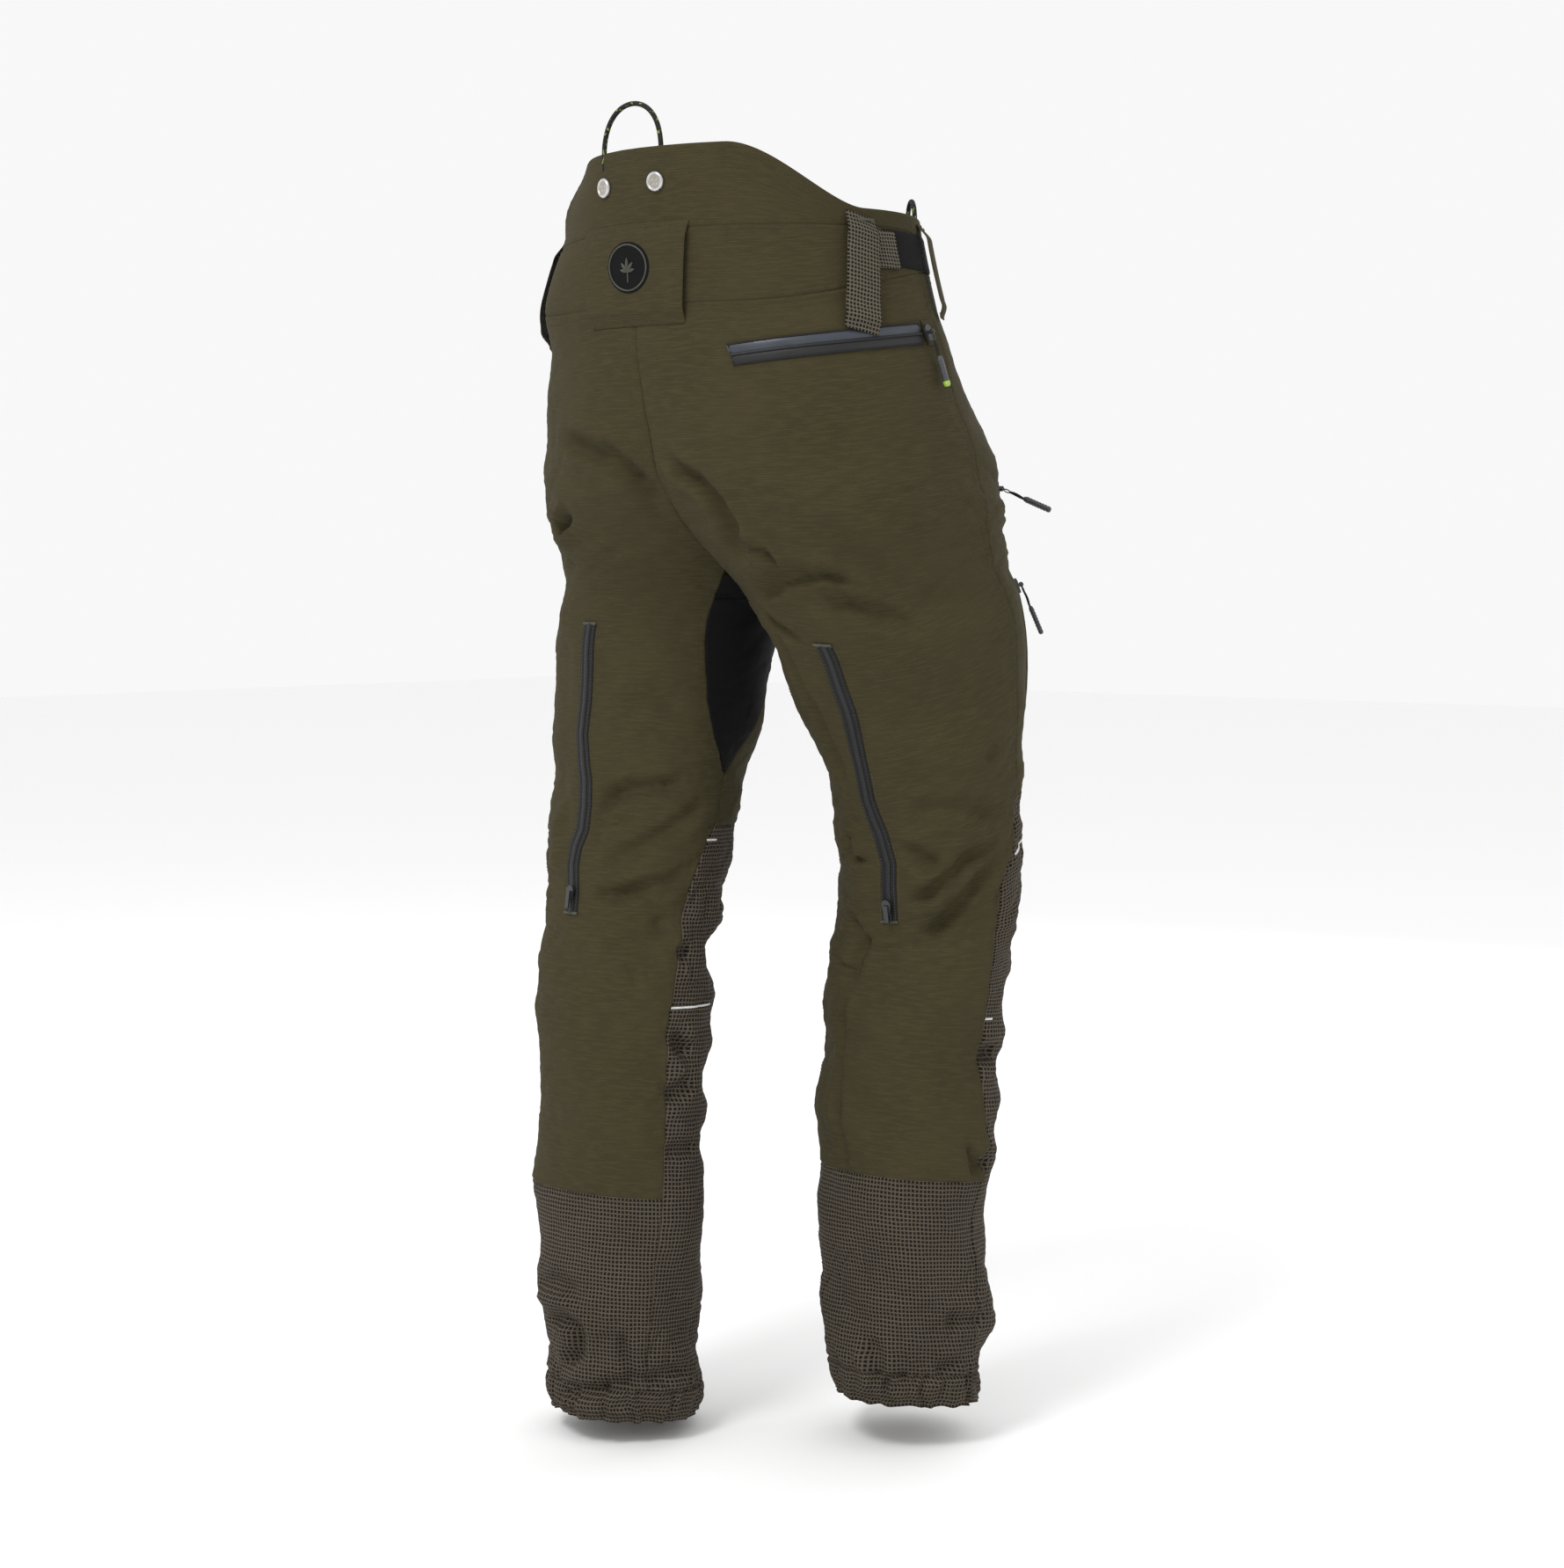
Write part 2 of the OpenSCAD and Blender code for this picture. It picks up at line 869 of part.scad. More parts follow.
high_back_panel();
waistband_back();
waistband_front();
seat_panels();
hip_front_panels();
rear_belt_tunnel();
belt_loops();
hook_pads();
brace_buttons();
pocket_zip_tapes();
pocket_bags();
fly_zip_tape();
fly_zip_slider();
waist_snap();
adjuster_tab(1);  // adjuster_tab_left
adjuster_tab(-1);  // adjuster_tab_right
cord_loop(-1, 79, 1, 79, 39, 14);  // rear_cord_loop
cord_loop(1, -32, 1, -46, 20, 12);  // front_cord_loop_left
cord_loop(-1, -46, -1, -32, 20, 12);  // front_cord_loop_right
placed_slider(-1, rear_zip[0], 0);  // rear_zip_slider
placed_puller(-1, rear_zip[0], 0, 0);  // rear_zip_puller
placed_slider(1, hand_zip[0], lean_of(hand_zip));  // hand_zip_slider_left
placed_slider(-1, hand_zip[0], lean_of(hand_zip));  // hand_zip_slider_right
placed_puller(1, hand_zip[0], lean_of(hand_zip), 0);  // hand_zip_puller_left
placed_puller(-1, hand_zip[0], lean_of(hand_zip), 60);  // hand_zip_puller_right
hip_fold(1);  // hip_fold_left
hip_fold(-1);  // hip_fold_right
knee_fold(1);  // knee_fold_left
knee_fold(-1);  // knee_fold_right
front_thigh_panel(1);  // front_thigh_panel_left
front_thigh_panel(-1);  // front_thigh_panel_right
back_thigh_panel(1);  // back_thigh_panel_left
back_thigh_panel(-1);  // back_thigh_panel_right
gusset(1);  // gusset_left
gusset(-1);  // gusset_right
knee_cap_panel(1);  // knee_cap_panel_left
knee_cap_panel(-1);  // knee_cap_panel_right
thigh_guard_pad(1);  // thigh_guard_pad_left
thigh_guard_pad(-1);  // thigh_guard_pad_right
vent_tape(1);  // vent_tape_left
vent_tape(-1);  // vent_tape_right
vent_slider(1);  // vent_slider_left
vent_slider(-1);  // vent_slider_right
thigh_zip_tape(1);  // thigh_zip_tape_left
thigh_zip_tape(-1);  // thigh_zip_tape_right
placed_slider(1, thigh_zip[0], lean_of(thigh_zip));  // thigh_zip_slider_left
placed_slider(-1, thigh_zip[0], lean_of(thigh_zip));  // thigh_zip_slider_right
placed_puller(1, thigh_zip[0], lean_of(thigh_zip), 0);  // thigh_zip_puller_left
placed_puller(-1, thigh_zip[0], lean_of(thigh_zip), 0);  // thigh_zip_puller_right
shin_panel(1);  // shin_panel_left
shin_panel(-1);  // shin_panel_right
calf_panel(1);  // calf_panel_left
calf_panel(-1);  // calf_panel_right
ankle_panel(1);  // ankle_panel_left
ankle_panel(-1);  // ankle_panel_right
cuff(1);  // cuff_left
cuff(-1);  // cuff_right
shin_guard_pad(1);  // shin_guard_pad_left
shin_guard_pad(-1);  // shin_guard_pad_right
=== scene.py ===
"""Chainsaw trousers in a walking pose: cloth panels, seams, zips, loops, buttons and pads.

Lengths are in millimetres until a mesh is made, and heights and angles are those of part.scad:
angle 0 is a leg's outer side, 90 its back, -90 its front and 180 its inseam.
"""

import json
import math

import bpy
import numpy as np
from mathutils import Matrix, Vector


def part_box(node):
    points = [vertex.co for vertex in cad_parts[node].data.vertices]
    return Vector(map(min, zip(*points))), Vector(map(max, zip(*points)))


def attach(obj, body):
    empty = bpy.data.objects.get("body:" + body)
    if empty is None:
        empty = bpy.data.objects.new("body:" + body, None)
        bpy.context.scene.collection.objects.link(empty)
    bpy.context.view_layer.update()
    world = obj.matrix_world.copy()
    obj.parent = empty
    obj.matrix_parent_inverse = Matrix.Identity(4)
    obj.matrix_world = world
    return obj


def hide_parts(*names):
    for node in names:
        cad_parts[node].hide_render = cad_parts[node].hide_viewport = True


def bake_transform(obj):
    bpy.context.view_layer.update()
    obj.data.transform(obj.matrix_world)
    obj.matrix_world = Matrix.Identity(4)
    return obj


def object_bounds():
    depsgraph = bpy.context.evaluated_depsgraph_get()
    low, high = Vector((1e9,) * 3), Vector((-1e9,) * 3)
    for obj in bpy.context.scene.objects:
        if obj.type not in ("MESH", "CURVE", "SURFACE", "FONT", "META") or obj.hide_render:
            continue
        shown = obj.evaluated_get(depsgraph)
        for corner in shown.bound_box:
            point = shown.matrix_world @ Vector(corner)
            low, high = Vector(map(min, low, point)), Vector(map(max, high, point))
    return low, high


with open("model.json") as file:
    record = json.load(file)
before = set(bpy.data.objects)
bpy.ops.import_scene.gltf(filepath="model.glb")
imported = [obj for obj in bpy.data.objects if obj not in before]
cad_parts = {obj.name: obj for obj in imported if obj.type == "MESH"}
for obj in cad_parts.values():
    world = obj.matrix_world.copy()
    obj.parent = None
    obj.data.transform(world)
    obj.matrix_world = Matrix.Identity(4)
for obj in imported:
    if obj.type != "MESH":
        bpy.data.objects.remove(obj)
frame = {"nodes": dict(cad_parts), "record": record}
cad_box = [list(corner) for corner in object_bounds()]

# ---- Camera and light ----

VIEW_TURN = math.radians(41)
VIEW_DISTANCE = 2.5
VIEW_HEIGHT = -0.265
VIEW_AIM = Vector((-0.0283, -0.0246, -0.45))
LENS = 64.1
LIGHT_AIM = Vector((0, 0, -0.45))
# Name, place, size and power of each light
LIGHTS = [
    ("key", (-0.3, 3.0, 2.9), 1.4, 85),
    ("left", (2.8, 1.4, 0.6), 2.4, 5),
    ("right", (-3.0, -0.6, 0.4), 2.2, 5),
    ("front", (0.6, -3.0, 0.8), 2.6, 14),
]


def make_camera():
    data = bpy.data.cameras.new("camera")
    data.sensor_width = 36
    data.lens = LENS
    data.clip_end = 50
    camera = bpy.data.objects.new("camera", data)
    bpy.context.scene.collection.objects.link(camera)
    back = Vector((-math.sin(VIEW_TURN), math.cos(VIEW_TURN), 0))
    camera.location = back * VIEW_DISTANCE + Vector((0, 0, VIEW_HEIGHT))
    camera.rotation_euler = (VIEW_AIM - camera.location).to_track_quat("-Z", "Y").to_euler()
    bpy.context.scene.camera = camera


def make_light(name, spot, size, power):
    data = bpy.data.lights.new(name, "AREA")
    data.shape = "DISK"
    data.size = size
    data.energy = power
    light = bpy.data.objects.new(name, data)
    bpy.context.scene.collection.objects.link(light)
    light.location = spot
    light.rotation_euler = (LIGHT_AIM - Vector(spot)).to_track_quat("-Z", "Y").to_euler()


make_camera()
for row in LIGHTS:
    make_light(*row)
world = bpy.data.worlds.new("studio")
world.use_nodes = True
world.node_tree.nodes["Background"].inputs["Color"].default_value = (1, 1, 1, 1)
world.node_tree.nodes["Background"].inputs["Strength"].default_value = 0.94
bpy.context.scene.world = world
bpy.context.scene.view_settings.view_transform = "Standard"

# ---- Materials ----


class Nodes:
    """Short names for building one material's nodes."""

    def __init__(self, name, roughness, metallic=0.0, sheen=0.0, coat=0.0, specular=0.5):
        self.material = bpy.data.materials.new(name)
        self.material.use_nodes = True
        self.tree = self.material.node_tree
        self.shader = self.tree.nodes["Principled BSDF"]
        self.shader.inputs["Roughness"].default_value = roughness
        self.shader.inputs["Metallic"].default_value = metallic
        self.shader.inputs["Sheen Weight"].default_value = sheen
        self.shader.inputs["Coat Weight"].default_value = coat
        self.shader.inputs["Specular IOR Level"].default_value = specular
        self.uv = self.tree.nodes.new("ShaderNodeUVMap").outputs["UV"]

    def link(self, source, target):
        if isinstance(source, (int, float)):
            target.default_value = source
        else:
            self.tree.links.new(source, target)

    def math(self, operation, a, b=0.0, clamp=False):
        node = self.tree.nodes.new("ShaderNodeMath")
        node.operation = operation
        node.use_clamp = clamp
        self.link(a, node.inputs[0])
        self.link(b, node.inputs[1])
        return node.outputs[0]

    def part(self, axis):
        node = self.tree.nodes.new("ShaderNodeSeparateXYZ")
        self.tree.links.new(self.uv, node.inputs[0])
        return node.outputs[axis]

    def noise(self, scale, stretch=(1, 1, 1), detail=3.0, rough=0.55):
        mapping = self.tree.nodes.new("ShaderNodeMapping")
        mapping.inputs["Scale"].default_value = stretch
        self.tree.links.new(self.uv, mapping.inputs["Vector"])
        node = self.tree.nodes.new("ShaderNodeTexNoise")
        node.inputs["Scale"].default_value = scale
        node.inputs["Detail"].default_value = detail
        node.inputs["Roughness"].default_value = rough
        self.tree.links.new(mapping.outputs["Vector"], node.inputs["Vector"])
        return node.outputs["Fac"]

    def mix(self, factor, a, b):
        node = self.tree.nodes.new("ShaderNodeMix")
        node.data_type = "RGBA"
        self.link(factor, node.inputs["Factor"])
        for value, socket in ((a, node.inputs["A"]), (b, node.inputs["B"])):
            if isinstance(value, tuple):
                socket.default_value = (*value, 1)
            else:
                self.tree.links.new(value, socket)
        return node.outputs["Result"]

    def ramp(self, value, low, high):
        node = self.tree.nodes.new("ShaderNodeMapRange")
        node.interpolation_type = "SMOOTHSTEP"
        self.link(value, node.inputs["Value"])
        node.inputs["From Min"].default_value = low
        node.inputs["From Max"].default_value = high
        return node.outputs["Result"]

    def spread(self, value, low, high):
        node = self.tree.nodes.new("ShaderNodeMapRange")
        self.link(value, node.inputs["Value"])
        node.inputs["From Min"].default_value = 0.25
        node.inputs["From Max"].default_value = 0.75
        node.inputs["To Min"].default_value = low
        node.inputs["To Max"].default_value = high
        return node.outputs["Result"]

    def wave(self, coordinate, period):
        return self.math("SINE", self.math("MULTIPLY", coordinate, 2 * math.pi / period))

    def finish(self, colour, height=None, depth=0.0002, rough=None, strength=0.6):
        if isinstance(colour, tuple):
            self.shader.inputs["Base Color"].default_value = (*colour, 1)
        else:
            self.tree.links.new(colour, self.shader.inputs["Base Color"])
        if height is not None:
            bump = self.tree.nodes.new("ShaderNodeBump")
            bump.inputs["Strength"].default_value = strength
            bump.inputs["Distance"].default_value = depth
            self.tree.links.new(height, bump.inputs["Height"])
            self.tree.links.new(bump.outputs["Normal"], self.shader.inputs["Normal"])
        if rough is not None:
            self.tree.links.new(rough, self.shader.inputs["Roughness"])
        return self.material


def ribbed_cloth(name, light, dark, rib=0.0021):
    """Matte cloth with fine level ribs that break off here and there."""
    n = Nodes(name, 0.9, specular=0.15)
    cloud = n.noise(14, detail=5)
    dashes = n.noise(260, (0.22, 1.6, 1), detail=2)
    thread = n.noise(1500, (1.0, 0.45, 1), detail=1)
    ribs = n.wave(n.math("ADD", n.part("Y"), n.math("MULTIPLY", cloud, 0.0016)), rib)
    broken = n.math("MULTIPLY", ribs, n.ramp(dashes, 0.35, 0.62))
    base = n.mix(n.ramp(cloud, 0.25, 0.78), dark, light)
    tone = n.mix(n.ramp(dashes, 0.4, 0.66), base, tuple(1.1 * c for c in light))
    # Painted highlight: the raised rib crests are painted paler, part way towards 1.4 times the light colour.
    tone = n.mix(n.math("MULTIPLY", n.ramp(broken, -0.2, 1.0), 0.2), tone, tuple(1.4 * c for c in light))
    tone = n.mix(n.math("MULTIPLY", n.ramp(thread, 0.52, 0.7), 0.26), tone, tuple(0.55 * c for c in dark))
    height = n.math("ADD", broken, n.math("MULTIPLY", thread, 0.8))
    return n.finish(tone, height, 0.00018, n.spread(dashes, 0.84, 0.96), 0.7)


def checked_cloth(name, line, ground, across=0.0035, up=0.0038):
    """Dark rectangles on a pale grid of yarns. The level yarns are paler than the upright ones."""
    n = Nodes(name, 0.85, specular=0.15)
    wander = n.noise(60, detail=2)
    shift = n.math("MULTIPLY", wander, 0.0022)
    u = n.math("FRACT", n.math("DIVIDE", n.math("ADD", n.part("X"), shift), across))
    v = n.math("FRACT", n.math("DIVIDE", n.math("ADD", n.part("Y"), shift), up))
    from_u = n.math("ABSOLUTE", n.math("SUBTRACT", u, 0.5))
    from_v = n.math("ABSOLUTE", n.math("SUBTRACT", v, 0.5))
    upright = n.ramp(from_u, 0.26, 0.34)
    level = n.ramp(from_v, 0.29, 0.37)
    thread = n.noise(1300, detail=1)
    cloud = n.noise(16, detail=4)
    worn = n.noise(330, detail=2)
    colour = n.mix(upright, ground, tuple(0.82 * c for c in line))
    colour = n.mix(level, colour, line)
    colour = n.mix(n.math("MULTIPLY", n.ramp(worn, 0.5, 0.72), 0.35), colour, tuple(0.6 * c for c in line))
    colour = n.mix(n.math("MULTIPLY", n.ramp(cloud, 0.35, 0.7), 0.15), colour, ground)
    yarns = n.math("MAXIMUM", upright, level)
    height = n.math("ADD", yarns, n.math("MULTIPLY", thread, 0.7))
    return n.finish(colour, height, 0.00025, n.spread(worn, 0.78, 0.94), 0.8)


def knit_cloth(name, light, dark, stitch=0.0012):
    n = Nodes(name, 0.88, specular=0.15)
    across = n.wave(n.part("X"), stitch)
    up = n.wave(n.part("Y"), stitch * 1.3)
    loops = n.math("MULTIPLY", across, up)
    cloud = n.noise(22, detail=4)
    # Painted shade and highlight: the raised loops are painted lighter and the hollows between them darker,
    # on top of a random cloud of tone.
    colour = n.mix(n.ramp(n.math("ADD", n.math("MULTIPLY", loops, 0.2), cloud), 0.3, 0.75), dark, light)
    return n.finish(colour, loops, 0.00015, n.spread(cloud, 0.78, 0.94))


def tape_cloth(name, light, dark, rough=0.62):
    n = Nodes(name, rough, specular=0.25)
    herring = n.wave(n.math("ADD", n.math("ABSOLUTE", n.part("X")), n.part("Y")), 0.0011)
    cloud = n.noise(45, detail=4)
    colour = n.mix(n.ramp(cloud, 0.3, 0.7), dark, light)
    return n.finish(colour, herring, 0.00012, n.spread(cloud, rough - 0.08, rough + 0.1))


def coated(name, light, dark, rough=0.42):
    n = Nodes(name, rough, coat=0.08, specular=0.35)
    cloud = n.noise(30, detail=5)
    grain = n.noise(900, detail=2)
    colour = n.mix(n.ramp(cloud, 0.3, 0.7), dark, light)
    return n.finish(colour, grain, 0.00008, n.spread(cloud, rough - 0.08, rough + 0.12), 0.5)


def enamel(name, light, dark, rough=0.35, metallic=0.0):
    n = Nodes(name, rough, metallic=metallic, coat=0.25)
    wear = n.noise(240, detail=4)
    colour = n.mix(n.ramp(wear, 0.45, 0.75), dark, light)
    return n.finish(colour, wear, 0.00006, n.spread(wear, rough - 0.08, rough + 0.15), 0.4)


def metal(name, light, dark, rough=0.32):
    n = Nodes(name, rough, metallic=1.0)
    brushed = n.noise(500, (1, 0.1, 1), detail=3)
    colour = n.mix(n.ramp(brushed, 0.3, 0.7), dark, light)
    return n.finish(colour, brushed, 0.00003, n.spread(brushed, rough - 0.08, rough + 0.14), 0.4)


def braided(name, ground, fleck, pitch=0.0034):
    """Cord braid: crossing strands along and round, with coloured flecks."""
    n = Nodes(name, 0.75, specular=0.25)
    one = n.wave(n.math("ADD", n.part("X"), n.part("Y")), pitch)
    two = n.wave(n.math("SUBTRACT", n.part("X"), n.part("Y")), pitch)
    strands = n.math("MAXIMUM", one, two)
    spots = n.noise(420, (1, 0.5, 1), detail=1)
    # Painted shade: the grooves between the strands are darkened to 0.45 of the cord's colour. The flecks are
    # the cord's own colour.
    tone = n.mix(n.ramp(strands, -0.4, 0.9), tuple(0.45 * c for c in ground), ground)
    colour = n.mix(n.ramp(spots, 0.6, 0.66), tone, fleck)
    return n.finish(colour, strands, 0.0004, n.spread(spots, 0.65, 0.85))


def thread(name, light, dark):
    n = Nodes(name, 0.75, specular=0.25)
    ply = n.wave(n.math("ADD", n.part("X"), n.part("Y")), 0.0006)
    cloud = n.noise(60, detail=2)
    colour = n.mix(n.ramp(cloud, 0.3, 0.7), dark, light)
    return n.finish(colour, ply, 0.0001, n.spread(cloud, 0.66, 0.84))


def floor_paint(name):
    n = Nodes(name, 0.9)
    cloud = n.noise(3, detail=2)
    return n.finish(n.mix(cloud, (0.96, 0.96, 0.96), (0.97, 0.97, 0.97)))


OLIVE = ribbed_cloth("olive_cloth", (0.0455, 0.0378, 0.0172), (0.037, 0.0308, 0.0138))
CHECKED = checked_cloth("checked_cloth", (0.09, 0.0735, 0.054), (0.0062, 0.0047, 0.0038))
WEBBING = checked_cloth("checked_webbing", (0.115, 0.1, 0.074), (0.006, 0.0048, 0.004), 0.003, 0.0034)
STRETCH = knit_cloth("stretch_cloth", (0.0052, 0.005, 0.0053), (0.0034, 0.0032, 0.0035))
LINING = knit_cloth("lining_cloth", (0.03, 0.028, 0.026), (0.02, 0.019, 0.018), 0.0009)
FELT = knit_cloth("guard_felt", (0.6, 0.52, 0.27), (0.5, 0.42, 0.2), 0.0021)
HOOKS = knit_cloth("hook_pile", (0.008, 0.0076, 0.008), (0.004, 0.004, 0.0043), 0.0016)
TAPE = tape_cloth("zip_tape", (0.0125, 0.0118, 0.0135), (0.008, 0.0078, 0.0092))
COATED = coated("coated_lip", (0.042, 0.05, 0.062), (0.03, 0.036, 0.046), 0.38)
DARK_LIP = coated("dark_lip", (0.0105, 0.0108, 0.012), (0.007, 0.0072, 0.008), 0.5)
ENAMEL = enamel("black_enamel", (0.03, 0.03, 0.032), (0.012, 0.012, 0.013))
GRIP = enamel("moulded_grip", (0.045, 0.047, 0.05), (0.03, 0.031, 0.034), 0.55)
LIME = enamel("lime_tip", (0.36, 0.52, 0.05), (0.28, 0.42, 0.04), 0.5)
STEEL = metal("button_rim", (0.62, 0.61, 0.6), (0.48, 0.47, 0.46))
BUTTON_FACE = enamel("button_face", (0.34, 0.31, 0.26), (0.27, 0.25, 0.21), 0.5)
CORD_BRAID = braided("cord_braid", (0.014, 0.0145, 0.0135), (0.2, 0.27, 0.05))
THREAD = thread("olive_thread", (0.07, 0.066, 0.034), (0.052, 0.049, 0.026))
BLACK_THREAD = thread("black_thread", (0.02, 0.02, 0.021), (0.012, 0.012, 0.013))
GREY_THREAD = thread("grey_thread", (0.085, 0.09, 0.068), (0.06, 0.064, 0.048))
WHITE = tape_cloth("reflective_trim", (0.72, 0.72, 0.7), (0.6, 0.6, 0.59), 0.4)
FLOOR = floor_paint("floor_paint")

# ---- The cloth's surface ----

# Height, centre outward, centre backward, half width, half depth
STATIONS = np.array([
    [110, 0, 18, 175, 131],
    [28, 0, 7, 181, 134],
    [-32, 5, -2, 185, 137],
    [-110, 35, -18, 171, 149],
    [-180, 62, -35, 157, 152],
    [-281, 110, -49, 110, 116],
    [-330, 124, -46, 106, 101],
    [-400, 126, -34, 98, 88],
    [-500, 122, -16, 92, 76],
    [-600, 115, 8, 88, 70],
    [-680, 109, 16, 87, 68],
    [-824, 106, 10, 82, 67],
    [-930, 106, 0, 77, 67],
    [-1030, 106, -13, 70, 67],
], float)[::-1]
CROTCH, HEM, CUFF, ANKLE, KNEE_TOP = -281.0, -1030.0, -1000.0, -824.0, -490.0
BAND_TOP = 27.0
# Degrees of bend for each side, and each bend's axis (y, z), upper end and length
HIP_BEND = {1: -2.5, -1: 20.5}
KNEE_BEND = {1: 2.5, -1: 26.0}
HIP_AXIS, HIP_BEND_TOP, HIP_BEND_LENGTH = (0, -215), -262, 200
HIP_SLANT = (0.523, 0.852)
KNEE_AXIS, KNEE_BEND_TOP, KNEE_BEND_LENGTH = (10, -600), -530, 160
SIDES = {1: "left", -1: "right"}
SIDE_SEAM = np.array([[-1030, -8], [-842, -4], [-782, -8], [-726, 1], [-678, 6], [-602, 11], [-554, 7],
                      [-520, -9], [-490, -11], [120, -11]], float)
INSEAM_BELOW = np.array([[-1030, 149], [-968, 149], [-930, 151], [-824, 158], [-740, 158], [-674, 157],
                         [-640, 159], [-582, 163], [-550, 164], [-522, 168], [-502, 173], [-480, 180],
                         [-470, 180]], float)
INSEAM_TOP = -470
GUSSET = np.array([[-443, 0], [-442, 1], [-434, 5], [-408, 16], [-376, 25], [-340, 31],
                   [-306, 33], [-276, 32]], float)
GUSSET_TOP, RISE_TOP = -283.5, -262.5


def smooth_column(x, y, at):
    """A smooth curve through points that never overshoots them."""
    step = np.diff(x)
    slope = np.diff(y) / step
    tangent = np.zeros_like(y)
    tangent[0], tangent[-1] = slope[0], slope[-1]
    for i in range(1, len(x) - 1):
        if slope[i - 1] * slope[i] > 0:
            one, two = 2 * step[i] + step[i - 1], step[i] + 2 * step[i - 1]
            tangent[i] = (one + two) / (one / slope[i - 1] + two / slope[i])
    i = np.clip(np.searchsorted(x, at) - 1, 0, len(x) - 2)
    t = (at - x[i]) / step[i]
    return (
        (2 * t**3 - 3 * t**2 + 1) * y[i] + (t**3 - 2 * t**2 + t) * step[i] * tangent[i]
        + (3 * t**2 - 2 * t**3) * y[i + 1] + (t**3 - t**2) * step[i] * tangent[i + 1]
    )


LEVELS = np.arange(-1060.0, 140.0, 1.0)
SMOOTH = [smooth_column(STATIONS[:, 0], STATIONS[:, k], LEVELS) for k in range(1, 5)]


def column(z, k, plain=False):
    """Column k of the stations at heights z, smoothed, or in straight lines as the CAD reads them."""
    if plain:
        return np.interp(z, STATIONS[:, 0], STATIONS[:, k + 1])
    return np.interp(z, LEVELS, SMOOTH[k])


def ease(t):
    t = np.clip(t, 0, 1)
    return t * t * (3 - 2 * t)


def limit(z, plain=False):
    """The angle at which the leg's tube meets the middle plane, or 180 below the crotch."""
    out, half = column(z, 0, plain), column(z, 2, plain)
    return np.where((out < half) & (z > CROTCH), np.degrees(np.arccos(np.clip(-out / half, -1, 1))), 180.0)


def swing(p, degrees, y, z):
    turn = np.radians(degrees)
    across, up = p[..., 1] - y, p[..., 2] - z
    return np.stack([
        p[..., 0],
        y + across * np.cos(turn) + up * np.sin(turn),
        z - across * np.sin(turn) + up * np.cos(turn),
    ], -1)


def posed(side, p):
    """A point of the straight leg, moved into the walking pose."""
    knee = ease((KNEE_BEND_TOP - p[..., 2]) / KNEE_BEND_LENGTH)
    down = HIP_SLANT[0] * np.abs(p[..., 0]) - HIP_SLANT[1] * (p[..., 2] - HIP_BEND_TOP)
    bent = swing(p, -KNEE_BEND[side] * knee, *KNEE_AXIS)
    return swing(bent, HIP_BEND[side] * ease(down / HIP_BEND_LENGTH), *HIP_AXIS)


def cad_point(side, angle, z, out=0.0):
    """A point on the CAD model's surface."""
    turn = np.radians(angle)
    z = np.asarray(z, float) + 0 * turn
    x = np.maximum(column(z, 0, True) + (column(z, 2, True) + out) * np.cos(turn), 0.2)
    y = column(z, 1, True) + (column(z, 3, True) + out) * np.sin(turn)
    return posed(side, np.stack([side * x, y, z], -1))


def per_degree(z):
    """Millimetres round the tube for one degree."""
    return (column(z, 2) + column(z, 3)) / 2 * math.pi / 180


# ---- Relief: how far the cloth stands out or in, on a grid of angle and height ----

ANGLE_STEP, HEIGHT_STEP = 0.75, 2.0
ANGLES = np.arange(-180, 180, ANGLE_STEP)
HEIGHTS = np.arange(-1046, 130, HEIGHT_STEP)
GRID_A, GRID_Z = np.meshgrid(ANGLES, HEIGHTS)
relief = {}
FOLD_DEPTH = 1.4
# Distance from the middle plane over which the two sides come to share one relief
SHARED_RELIEF = 16


def relief_at(side, angle, z):
    a = ((np.asarray(angle, float) + 180) % 360) / ANGLE_STEP
    r = np.clip((np.asarray(z, float) - HEIGHTS[0]) / HEIGHT_STEP, 0, len(HEIGHTS) - 1.001)
    a0, r0 = np.floor(a).astype(int), np.floor(r).astype(int)
    fa, fr = a - a0, r - r0
    a0, a1 = a0 % len(ANGLES), (a0 + 1) % len(ANGLES)
    grid = relief[side]
    low = grid[r0, a0] * (1 - fa) + grid[r0, a1] * fa
    high = grid[r0 + 1, a0] * (1 - fa) + grid[r0 + 1, a1] * fa
    return low * (1 - fr) + high * fr


def surface(side, angle, z, out=0.0, bare=False):
    """A point on the cloth, out millimetres from its face. bare leaves the relief out."""
    angle, z, out = np.broadcast_arrays(*(np.asarray(value, float) for value in (angle, z, out)))
    turn = np.radians(angle)
    centre, half = column(z, 0), column(z, 2)
    x = centre + half * np.cos(turn)
    above = z > CROTCH + 4
    near = np.where(above, 1 - ease(np.abs(x) / SHARED_RELIEF), 0.0)
    if not bare:
        both = (relief_at(1, angle, z) + relief_at(-1, angle, z)) / 2
        out = out + relief_at(side, angle, z) * (1 - near) + both * near
    x = np.where(above, np.maximum(x + out * np.cos(turn) * (1 - near), 0.0), x + out * np.cos(turn))
    y = column(z, 1) + (column(z, 3) + out) * np.sin(turn)
    return posed(side, np.stack([side * x, y, z], -1))


